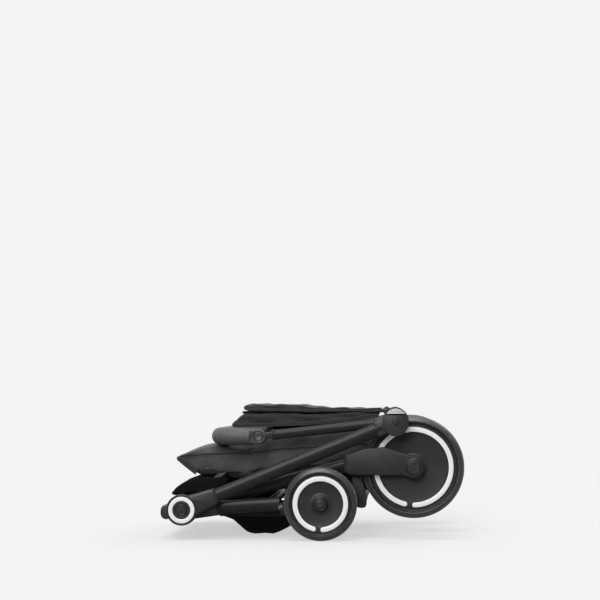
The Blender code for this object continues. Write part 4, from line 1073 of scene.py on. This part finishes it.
for word, side in sides:
    makeWheel("front", word, side, frontAxle, frontWheel)
    makeWheel("rear", word, side, rearAxle, rearWheel)
    makeCaster(word, side, casterSize)
print("stage: wheels done")


# ---- rear frame and brake

rearSize = {"disc": 0.0220, "socketFar": 0.060, "height": 0.034}


def makeRearSide(side, s):
    # a hub disc and socket inside the front hub, an oval leg, and the casting that carries the wheel
    word = "left" if side < 0 else "right"
    inner, outer = layerOf("rear_hub_left")
    legHigh = nodeBox("rear_leg_left")[1]
    foot = np.array([legHigh[0], legHigh[2]]) - np.array([0.0, ovalTube["height"] / 2 * 0.98])
    disc = turned(f"rearDisc_{word}", hub, side, softLoop(
        [(0.0, inner), (s["disc"], inner), (s["disc"], outer), (0.0, outer)], 0.0010))
    settle(disc, "rear_frame", mouldedPlastic, f"rear_hub_{word}", slot="black_plastic")
    socket = plate(f"rearSocket_{word}", legOutline(hub, foot, 0.008, s["socketFar"], s["height"],
                                                    s["height"] + 0.001),
                   inner + 0.0001, outer - 0.0001, side, edge=0.0045, corner=0.006)
    settle(socket, "rear_frame", mouldedPlastic)
    legRun = float(np.linalg.norm(foot - hub))
    makeTube(f"rearLeg_{word}", hub, foot, 0.045, legRun, layerOf("rear_leg_left"), "rear_frame", ovalTube,
             f"rear_leg_{word}")


bracketSize = {"top": 0.2085, "base": 0.1455, "reach": 0.0240, "cheekThick": 0.0132,
               "block": ((0.0703, 0.1500), (0.1075, 0.1930)), "blockLayer": (0.2068, 0.2402),
               "stay": ((0.0900, 0.0860), (0.0990, 0.0700), (0.1200, 0.0700), (0.1225, 0.0900),
                        (0.1060, 0.1600), (0.0860, 0.1600)), "stayLayer": (0.2078, 0.2160), "boss": 0.0226}


def makeBracket(side, s):
    # the casting over the wheel: a cheek round the axle with a boss on it,
    # a thinner stay, and its block
    word = "left" if side < 0 else "right"
    low = nodeBox("rear_bracket_left")[0]
    outer, front, top, base = -low[1], low[0], s["top"], s["base"]
    arc = [rearAxle + s["reach"] * np.array([math.sin(t), -math.cos(t)]) for t in np.radians(np.linspace(-15,
        165, 26))]
    loop = [np.array([front + 0.0057, base + 0.0025]), np.array([front + 0.0200, base]),
            np.array([0.2050, base])] + arc + [
        np.array([0.2080, 0.1950]), np.array([0.1640, top]), np.array([0.1200, 0.2060]),
        np.array([front + 0.0057, 0.1900])]
    cheek = plate(f"bracketCheek_{word}", loop, outer - s["cheekThick"], outer - 0.0006, side, edge=0.0024,
                  corner=0.009)
    settle(cheek, "rear_frame", wheelPlastic, f"rear_bracket_{word}", slot="black_plastic")
    boss = turned(f"bracketBoss_{word}", rearAxle, side, softLoop(
        [(0.0, outer - 0.006), (s["boss"], outer - 0.006), (s["boss"] - 0.0004, outer - 0.0020),
         (0.0170, outer + 0.0016), (0.0162, outer + 0.0006), (0.0, outer + 0.0002)], 0.0008), steps=72)
    settle(boss, "rear_frame", mouldedPlastic)
    (x0, z0), (x1, z1) = s["block"]
    block = plate(f"bracketBlock_{word}", [(x0, z0), (x1, z0), (x1, z1), (x0, z1)], *s["blockLayer"], side,
                  edge=0.0040, corner=0.006)
    settle(block, "rear_frame", mouldedPlastic)
    stay = plate(f"bracketStay_{word}", s["stay"], *s["stayLayer"], side, edge=0.0025, corner=0.008)
    settle(stay, "rear_frame", mouldedPlastic)


for word, side in sides:
    makeRearSide(side, rearSize)
    makeBracket(side, bracketSize)
    capLow, capHigh = layerOf("rear_axle")[1] - 0.0032, layerOf("rear_axle")[1]
    axleCap = turned(f"rearAxleCap_{word}", rearAxle, side, softLoop(
        [(0.0, capLow), (0.0160, capLow), (0.0160, capHigh - 0.0014), (0.0146, capHigh - 0.0002),
         (0.0120, capHigh), (0.0, capHigh)], 0.0008), steps=72)
    settle(axleCap, "rear_frame", wheelPlastic)
    makeScrew(f"rearAxleScrew_{word}", rearAxle, side, capHigh - 0.0010, "rear_frame", {"screwHead": 0.0050})
makeCrossBar("rearAxleBar", rearAxle, layerOf("rear_axle")[1] - 0.0034, 0.0050, "rear_frame", screwSteel,
             "rear_axle")
makeCrossBar("braceBar", midPoint("rear_brace_bar"), layerOf("rear_brace_bar")[1], 0.0099, "rear_frame",
             framePaint, "rear_brace_bar")

pedalSize = {"sleeve": 0.0120, "half": 0.045, "plateHalf": 0.0395, "reach": 0.084, "thick": 0.0075}


def makePedal(s):
    # a sleeve round the axle with a ribbed foot plate that leans down and back
    low, high = nodeBox("brake_pedal")
    sleeve = turned("brakeSleeve", rearAxle, 1.0, softLoop(
        [(0.0056, -s["half"]), (s["sleeve"], -s["half"]), (s["sleeve"], s["half"]), (0.0056, s["half"])],
        0.0012))
    settle(sleeve, "brake", mouldedPlastic, "brake_pedal", slot="black_plastic")
    tip = np.array([high[0], low[2]])
    way = unit(tip - rearAxle + np.array([-0.004, 0.004]))
    foot = rearAxle + way * (s["reach"] - 0.003)
    reach = float(np.linalg.norm(foot - rearAxle))
    pad = plate("brakePlate", legOutline(rearAxle, foot, 0.0095, reach, 0.0095, s["thick"]), -s["plateHalf"],
                s["plateHalf"], 1.0, edge=0.0028, corner=0.0034)
    settle(pad, "brake", mouldedPlastic)
    up = np.array([-way[1], way[0]])
    for index in range(6):
        spot = rearAxle + way * (0.030 + 0.0075 * index) + up * (s["thick"] / 2 + 0.0002)
        bar = [spot - way * 0.0013 - up * 0.001, spot + way * 0.0013 - up * 0.001,
               spot + way * 0.0013 + up * 0.0011, spot - way * 0.0013 + up * 0.0011]
        settle(plate(f"brakeTread_{index}", bar, -0.033, 0.033, 1.0, edge=0.0008, corner=0.0006), "brake",
               tyreFoam)


makePedal(pedalSize)
print("stage: rear frame and brake done")


# ---- soft goods

def flow(at, places, values, blur=0.012):
    # values at places, joined by straight lines and then averaged over a span of about blur on each side
    offsets = np.linspace(-1.0, 1.0, 9)
    weights = np.cos(offsets * math.pi / 2) ** 2 + 0.05
    spread = np.stack([np.interp(at + o * blur, places, values) for o in offsets])
    return np.tensordot(weights / weights.sum(), spread, axes=1)


def loft(name, s, ripple=None, steps=120, around=112, power=None):
    # stations along x; at each one the section is a superellipse |y/half|^p + |rise|^p = 1 whose upper half
    # reaches top(x) and whose lower half reaches bottom(x) from seam(x); ripple adds small folds
    data = np.array(s["stations"], float)
    ends = data[0, 0], data[-1, 0]
    share = (1 - np.cos(np.linspace(0, math.pi, steps))) / 2
    x = ends[0] + (ends[1] - ends[0]) * (0.55 * share + 0.45 * np.linspace(0, 1, steps))
    blur = s.get("blur", 0.010)
    seam, top, bottom, half = (flow(x, data[:, 0], data[:, i], blur)[:, None] for i in (1, 2, 3, 4))
    closing = np.clip(np.minimum(x - ends[0], ends[1] - x) / s.get("nose", 0.012), 0, 1)[:, None]
    full = np.sqrt(np.maximum(1 - (1 - closing) ** 2, 0.0))
    p = s["power"] if power is None else power
    angle = np.linspace(0, 2 * math.pi, around, endpoint=False)[None]
    across = np.sign(np.cos(angle)) * np.abs(np.cos(angle)) ** (2 / p)
    rise = np.sign(np.sin(angle)) * np.abs(np.sin(angle)) ** (2 / p)
    y = across * half * (0.94 + 0.06 * full)
    z = seam + full * np.where(rise > 0, rise * (top - seam), -rise * (bottom - seam))
    xx = np.broadcast_to(x[:, None], y.shape)
    if ripple is not None:
        shiftX, shiftY, shiftZ = ripple(xx, y, rise, full)
        xx, y, z = xx + shiftX, y + shiftY, z + shiftZ
    grid = np.stack([xx, y, z], axis=-1)
    edges = np.linalg.norm(np.diff(grid, axis=1), axis=2)
    girth = np.concatenate([np.zeros((steps, 1)), np.cumsum(edges, axis=1)], 1)
    uv = np.stack([np.broadcast_to(x[:, None], girth.shape), girth], axis=-1)
    return gridPiece(name, grid, False, True, caps=True, uv=uv, sharp=60.0)


def strip(name, path, across, width, thick):  # a flat tape along a path, its width along across
    ahead = unit(np.gradient(np.asarray(path, float), axis=0))
    wide = unit(np.asarray(across, float) - ahead * np.sum(np.asarray(across) * ahead, axis=-1,
                                                           keepdims=True))
    return sweep(name, path, width / 2, thick / 2, wide, 3.2, steps=24)


canopyUpper = {"power": 9.0, "blur": 0.009, "nose": 0.007, "stations": [
    (-0.1620, 0.2960, 0.3010, 0.2925, 0.1985), (-0.1560, 0.2965, 0.3040, 0.2900, 0.2000),
    (-0.1400, 0.2965, 0.3062, 0.2888, 0.2005), (-0.1150, 0.2955, 0.3068, 0.2884, 0.2010),
    (-0.0600, 0.2945, 0.3058, 0.2872, 0.2010), (0.0000, 0.2925, 0.3020, 0.2862, 0.2005),
    (0.0600, 0.2910, 0.2975, 0.2868, 0.1995), (0.1200, 0.2920, 0.2962, 0.2880, 0.1985),
    (0.1580, 0.2925, 0.2956, 0.2894, 0.1975)]}
canopyLower = {"power": 9.0, "blur": 0.006, "nose": 0.003, "stations": [
    (-0.1890, 0.2575, 0.2595, 0.2552, 0.2010), (-0.1800, 0.2580, 0.2690, 0.2548, 0.2025),
    (-0.1700, 0.2600, 0.2800, 0.2545, 0.2035), (-0.1620, 0.2600, 0.2850, 0.2545, 0.2035),
    (-0.1450, 0.2610, 0.2866, 0.2552, 0.2035), (-0.0900, 0.2630, 0.2862, 0.2570, 0.2035),
    (-0.0200, 0.2660, 0.2850, 0.2595, 0.2030), (0.0500, 0.2710, 0.2856, 0.2645, 0.2015),
    (0.1100, 0.2765, 0.2868, 0.2725, 0.2000), (0.1500, 0.2815, 0.2885, 0.2785, 0.1980)]}


def upperRipple(x, y, rise, full):
    # long shallow folds that fan out from the hinge side, plus a sag between the bow's arms
    fold = 0.0011 * np.sin(x * 52.0 + 3.0 * np.sin(y * 11.0) + 0.8) + 0.0007 * np.sin(x * 131.0 + y * 37.0)
    sag = -0.0050 * (1 - (y / 0.205) ** 2) * np.clip((x + 0.150) / 0.08, 0, 1) * (rise > 0)
    out = 0.0016 * np.sin(x * 74.0 + rise * 2.5) * np.sign(y)
    return 0.0, out * full, full * (fold * (0.4 + np.abs(rise)) + sag)


def lowerRipple(x, y, rise, full):
    # the same kind of folds, a little wider apart, and no sag
    fold = 0.0012 * np.sin(x * 44.0 + 2.4 * np.sin(y * 13.0)) + 0.0006 * np.sin(x * 117.0 - y * 29.0 + 1.0)
    out = 0.0018 * np.sin(x * 58.0 + rise * 3.0 + 0.6) * np.sign(y)
    return 0.0, out * full, full * fold * (0.3 + np.abs(rise))


def makeCanopyLayer(name, body, s, ripple, pivot, node, bowNode, bound):
    # the folded cloth, the bow inside its front edge, a tape bound over
    # its lower side edge, and two stitch rows
    cloth = loft(name, s, ripple)
    settle(cloth, body, canopyCloth, node, slot="fabric")
    low, high = nodeBox(bowNode)
    half = high[1] - 0.003
    frontX, bowLayer = low[0] + 0.003, (high[1] - 0.0060, high[1])
    route = uRoute(pivot[0], frontX, half, 0.016, pivot[1], low[2] + 0.003)
    bow = sweep(f"{name}Bow", route, 0.0030, 0.0030, upAxis, 2.0, steps=24)
    settle(bow, body, framePaint, bowNode, slot="frame_tube")
    for word, side in sides:
        eye = turned(f"{name}Eye_{word}", pivot, side, softLoop(
            [(0.0034, bowLayer[0]), (0.0078, bowLayer[0]), (0.0078, bowLayer[1]), (0.0034, bowLayer[1])],
            0.0012),
            steps=48)
        settle(eye, body, mouldedPlastic)
        data = np.array(s["stations"], float)
        x = np.linspace(data[0, 0] + 0.004, data[-1, 0] - 0.004, 90)
        edgeZ = flow(x, data[:, 0], data[:, bound["column"]], s["blur"]) + bound["lift"]
        halfAt = flow(x, data[:, 0], data[:, 4], s["blur"]) + bound["out"]
        path = np.stack([x, side * halfAt, edgeZ], axis=1)
        tape = strip(f"{name}Binding_{word}", path, upAxis, bound["width"], 0.0016)
        settle(tape, body, bindingTape)
        for row in (-0.30, 0.30):
            line = path + upAxis * bound["width"] * row + sideAxis * side * 0.0008
            settle(stitches(f"{name}Stitch_{word}_{'a' if row < 0 else 'b'}", line, sideAxis * side,
                            {"pitch": 0.0042, "length": 0.0030, "radius": 0.00042}), body, stitchThread)
    return cloth


upperCloth = makeCanopyLayer("canopyUpper", "canopy_rear", canopyUpper, upperRipple, canopyPivot,
                             "canopy_fabric_rear", "canopy_bow_rear",
                             {"column": 3, "lift": 0.0040, "out": 0.0012, "width": 0.0062})
lowerCloth = makeCanopyLayer("canopyLower", "canopy_front", canopyLower, lowerRipple, canopyPivot,
                             "canopy_fabric_front", "canopy_bow_front",
                             {"column": 3, "lift": 0.0014, "out": 0.0016, "width": 0.0094})
print("stage: canopy done")

cabinShell = {"power": 7.0, "blur": 0.008, "nose": 0.006, "stations": [
    (-0.3185, 0.1815, 0.1835, 0.1790, 0.1900), (-0.3080, 0.1850, 0.1890, 0.1715, 0.1950),
    (-0.2850, 0.1880, 0.1990, 0.1540, 0.1990), (-0.2640, 0.1895, 0.2070, 0.1385, 0.2005),
    (-0.2350, 0.1910, 0.2120, 0.1370, 0.2010), (-0.2000, 0.1920, 0.2115, 0.1355, 0.2015),
    (-0.1500, 0.1935, 0.2100, 0.1320, 0.2015), (-0.1260, 0.1965, 0.2180, 0.1310, 0.2015),
    (-0.1000, 0.2000, 0.2515, 0.1310, 0.2015), (-0.0700, 0.2030, 0.2545, 0.1340, 0.2010),
    (0.0000, 0.2080, 0.2562, 0.1440, 0.2005), (0.0500, 0.2110, 0.2600, 0.1480, 0.1995),
    (0.1000, 0.2150, 0.2610, 0.1500, 0.1985), (0.1350, 0.2150, 0.2520, 0.1520, 0.1970),
    (0.1550, 0.2200, 0.2350, 0.1800, 0.1920)]}


def cabinRipple(x, y, rise, full):
    # drapes: slanting folds on the sides and a pillow-like rise and fall on the top
    side = np.abs(y) / 0.2
    slant = 0.0020 * np.sin(x * 46.0 + rise * 3.6 + 0.5) + 0.0011 * np.sin(x * 103.0 - rise * 4.2 + 1.4)
    calm = np.where(x > -0.13, 0.45, 1.0)
    swell = 0.0016 * np.sin(x * 38.0 + 2.2 * np.sin(y * 9.0))
    topFold = calm * (swell + 0.0008 * np.sin(y * 66.0 + x * 25.0))
    moved = slant * np.sign(y) * side ** 4 * full
    kept = np.clip(y + moved, -0.2050, 0.2050) - y
    return 0.0, kept, topFold * full * (1 - np.minimum(side, 1.0) ** 6)


def makeCabin(s):
    # the folded bag with a piped seam along each side, a bound front lip, and stitch rows beside both
    bag = loft("cabinBag", s, cabinRipple, steps=170, around=144)
    settle(bag, "cabin", cabinCloth, "cabin_fabric", slot="fabric")
    data = np.array(s["stations"], float)
    for word, side in sides:
        x = np.linspace(data[0, 0] + 0.010, data[-1, 0] - 0.022, 120)
        seam = flow(x, data[:, 0], data[:, 1], s["blur"])
        half = flow(x, data[:, 0], data[:, 4], s["blur"])
        slant = 0.0020 * np.sin(x * 46.0 + 0.5) + 0.0011 * np.sin(x * 103.0 + 1.4)
        path = np.stack([x, side * (half + slant + 0.0004), seam], axis=1)
        settle(sweep(f"cabinPiping_{word}", path, 0.0015, 0.0015, upAxis, 2.0, steps=14), "cabin",
               bindingTape)
        for row in (-0.0042, 0.0042):
            line = path + upAxis * row - sideAxis * side * 0.0002
            settle(stitches(f"cabinStitch_{word}_{'a' if row < 0 else 'b'}", line, sideAxis * side,
                            {"pitch": 0.0044, "length": 0.0031, "radius": 0.00042}), "cabin", stitchThread)
        lipX = np.linspace(data[0, 0] + 0.004, -0.2680, 60)
        lipWide = np.interp(lipX, [data[0, 0], data[0, 0] + 0.022], [0.004, 0.015])
        lipZ = flow(lipX, data[:, 0], data[:, 3], s["blur"]) + lipWide * 0.5 + 0.0006
        lipY = side * (flow(lipX, data[:, 0], data[:, 4],
                            s["blur"]) + 0.0022 * np.sin(lipX * 46.0 - 1.0) + 0.0016)
        path = np.stack([lipX, lipY, lipZ], axis=1)
        settle(strip(f"cabinLip_{word}", path, upAxis, lipWide, 0.0026), "cabin", bindingTape)
        for row in (-0.33, 0.33):
            line = path + upAxis * (lipWide * row)[:, None] + sideAxis * side * 0.0014
            settle(stitches(f"cabinLipStitch_{word}_{'a' if row < 0 else 'b'}", line, sideAxis * side,
                            {"pitch": 0.0044, "length": 0.0031, "radius": 0.00042}), "cabin", stitchThread)
    return bag


cabinBag = makeCabin(cabinShell)

apronShell = {"power": 9.0, "blur": 0.010, "nose": 0.010, "stations": [
    (-0.3290, 0.0985, 0.1010, 0.0950, 0.1920), (-0.3180, 0.1040, 0.1130, 0.0940, 0.1990),
    (-0.3000, 0.1110, 0.1270, 0.0940, 0.2010), (-0.2750, 0.1190, 0.1360, 0.0935, 0.2015),
    (-0.2480, 0.1250, 0.1410, 0.0990, 0.2015), (-0.2200, 0.1300, 0.1430, 0.1120, 0.2010),
    (-0.1950, 0.1330, 0.1430, 0.1220, 0.1990)]}


def apronRipple(x, y, rise, full):
    # broad and fine wrinkles that slant opposite ways
    broad = 0.0014 * np.sin(y * 58.0 + x * 40.0)
    fine = 0.0009 * np.sin(y * 121.0 - x * 66.0 + 0.9)
    return 0.0, 0.0, full * (broad + fine)


# the apron wears the darkest cloth, with painted shade in its tone, as it sits in shade
apron = settle(loft("frontApron", apronShell, apronRipple, steps=70), bodyRoot, lowClothPaintedShade, "front_apron",
               slot="fabric")


# the basket: a hanging tub whose floor rests in the middle and climbs towards its sides

basketSize = {"half": 0.2000, "stations": [
    (-0.2140, 0.0570, 0.0520), (-0.2060, 0.0570, 0.0400), (-0.1900, 0.0570, 0.0330),
    (-0.1720, 0.0570, 0.0160), (-0.1600, 0.0570, 0.0050), (-0.1450, 0.0570, 0.0004),
    (-0.1000, 0.0570, 0.0004), (-0.0860, 0.0570, 0.0060), (-0.0640, 0.0570, 0.0170),
    (-0.0460, 0.0570, 0.0300), (-0.0390, 0.0570, 0.0480)]}


def makeBasket(s):
    # outer wall: depth(x, y) = rim - (rim - floor(x)) * (1 -
    # |y/half|^4)^(1/2) * sag; inner wall 2 mm inside it
    data = np.array(s["stations"], float)
    x = np.linspace(data[0, 0], data[-1, 0], 110)[:, None]
    t = np.sin(np.linspace(-math.pi / 2, math.pi / 2, 120))[None]
    rim = flow(x[:, 0], data[:, 0], data[:, 1], 0.004)[:, None]
    floor = np.maximum(flow(x[:, 0], data[:, 0], data[:, 2], 0.006)[:, None], 0.0008)
    curve = (1 - np.abs(t) ** 5) ** 0.42
    climb = 0.0150 * np.abs(t) ** 3 * np.clip((rim - floor) / 0.04, 0, 1)
    pucker = 0.0013 * np.sin(x * 95.0 + 2.0 * np.sin(t * 7.0)) * np.clip((rim - floor) / 0.03, 0, 1)
    crumple = pucker * curve * np.clip((rim - floor) * 30, 0, 1)
    z = np.maximum(rim - (rim - floor) * curve + climb * curve + crumple, 0.0008)
    y = np.broadcast_to(t * s["half"], z.shape)
    grid = np.stack([np.broadcast_to(x, z.shape), y, z], axis=-1)
    uv = np.stack([np.broadcast_to(x, z.shape), y], axis=-1)
    tub = gridPiece("basketTub", grid, uv=uv, sharp=60.0)
    solid = tub.modifiers.new("thickness", "SOLIDIFY")
    solid.thickness, solid.offset = 0.0018, 0.0
    settle(tub, bodyRoot, lowClothPaintedShade, "storage_basket", slot="fabric")
    for word, side in sides:
        line = np.linspace(data[0, 0], data[-1, 0], 60)
        path = np.stack([line, np.full(60, side * s["half"]), flow(line, data[:, 0], data[:, 1],
                                                                   0.004) - 0.002], 1)
        tape = strip(f"basketHem_{word}", path, upAxis, 0.012, 0.0030)
        settle(tape, bodyRoot, bindingTape)
    for word, where in (("front", data[0, 0]), ("back", data[-1, 0])):
        line = np.linspace(-s["half"], s["half"], 60)
        path = np.stack([np.full(60, where), line, np.full(60, data[0, 1] - 0.002)], 1)
        tape = strip(f"basketHem_{word}", path, upAxis, 0.012, 0.0030)
        settle(tape, bodyRoot, bindingTape)
    for word, side in sides:
        for index, spot in enumerate((-0.1900, -0.0620)):
            points = np.array([[spot, side * s["half"] * 0.995, 0.0540],
                               [spot + 0.0010, side * 0.2035, 0.0640], [spot + 0.0020, side * 0.2045, 0.0760],
                               [spot + 0.0040, side * 0.2030, 0.0880]])
            run = np.linspace(0, 3, 24)
            path = np.stack([np.interp(run, range(4), points[:, i]) for i in range(3)], 1)
            strap = strip(f"basketStrap_{word}_{index}", path, np.array([1.0, 0.0, 0.0]), 0.016, 0.0014)
            settle(strap, bodyRoot, bindingTape)
    return tub


basketTub = makeBasket(basketSize)
print("stage: cabin, apron and basket done")


# ---- cabin frame and floor board

cabinFrameSize = {"layer": (0.1890, 0.1990), "back": 0.1400, "railFront": 0.1440, "railBack": 0.1595,
                  "tall": 0.0160, "barReach": 0.1920, "bar": 0.0040}


def makeCabinFrame(s):
    # two flat rails with rounded edges, the arms down to the hub's eyes, and two cross bars
    front = nodeBox("floor_board")[0][0] - 0.002
    (inner, outer), back, tall = s["layer"], s["back"], s["tall"]
    for word, side in sides:
        rail = plate(f"cabinRail_{word}", [(front, s["railFront"]), (back, s["railBack"]),
                                           (back, s["railBack"] + tall),
                                               (front, s["railFront"] + tall)],
                     inner, outer, side, edge=0.0025, corner=0.005)
        settle(rail, "cabin", framePaint)
        arm = plate(f"cabinArm_{word}", [tuple(hub + np.array([-0.0065, 0.006])),
                                         tuple(hub + np.array([0.0065, -0.006])),
                    (-0.1850, 0.1570), (-0.2100, 0.1570)], inner, outer, side, edge=0.0025, corner=0.003)
        settle(arm, "cabin", framePaint)
        eye = turned(f"cabinEye_{word}", hub, side, softLoop(
            [(0.0052, inner), (0.0140, inner), (0.0140, layerOf("cabin_frame")[1]),
             (0.0052, layerOf("cabin_frame")[1])], 0.0012), steps=64)
        settle(eye, "cabin", mouldedPlastic)
    makeCrossBar("cabinBarFront", np.array([-0.2000, 0.1475]), s["barReach"], s["bar"], "cabin", framePaint,
                 "cabin_frame")
    makeCrossBar("cabinBarBack", np.array([0.1000, 0.1600]), s["barReach"], s["bar"], "cabin", framePaint,
                 "cabin_frame")


makeCabinFrame(cabinFrameSize)
boardLow, boardHigh = nodeBox("floor_board")
settle(plate("floorBoard", [(boardLow[0], 0.1506), (boardHigh[0], 0.1660), (boardHigh[0], 0.1740),
                                    (boardLow[0], 0.1586)], -boardHigh[1], boardHigh[1], 1.0, edge=0.0026,
                     corner=0.0035), "cabin", boardVinyl, "floor_board", slot="board")
print("stage: cabin frame done")
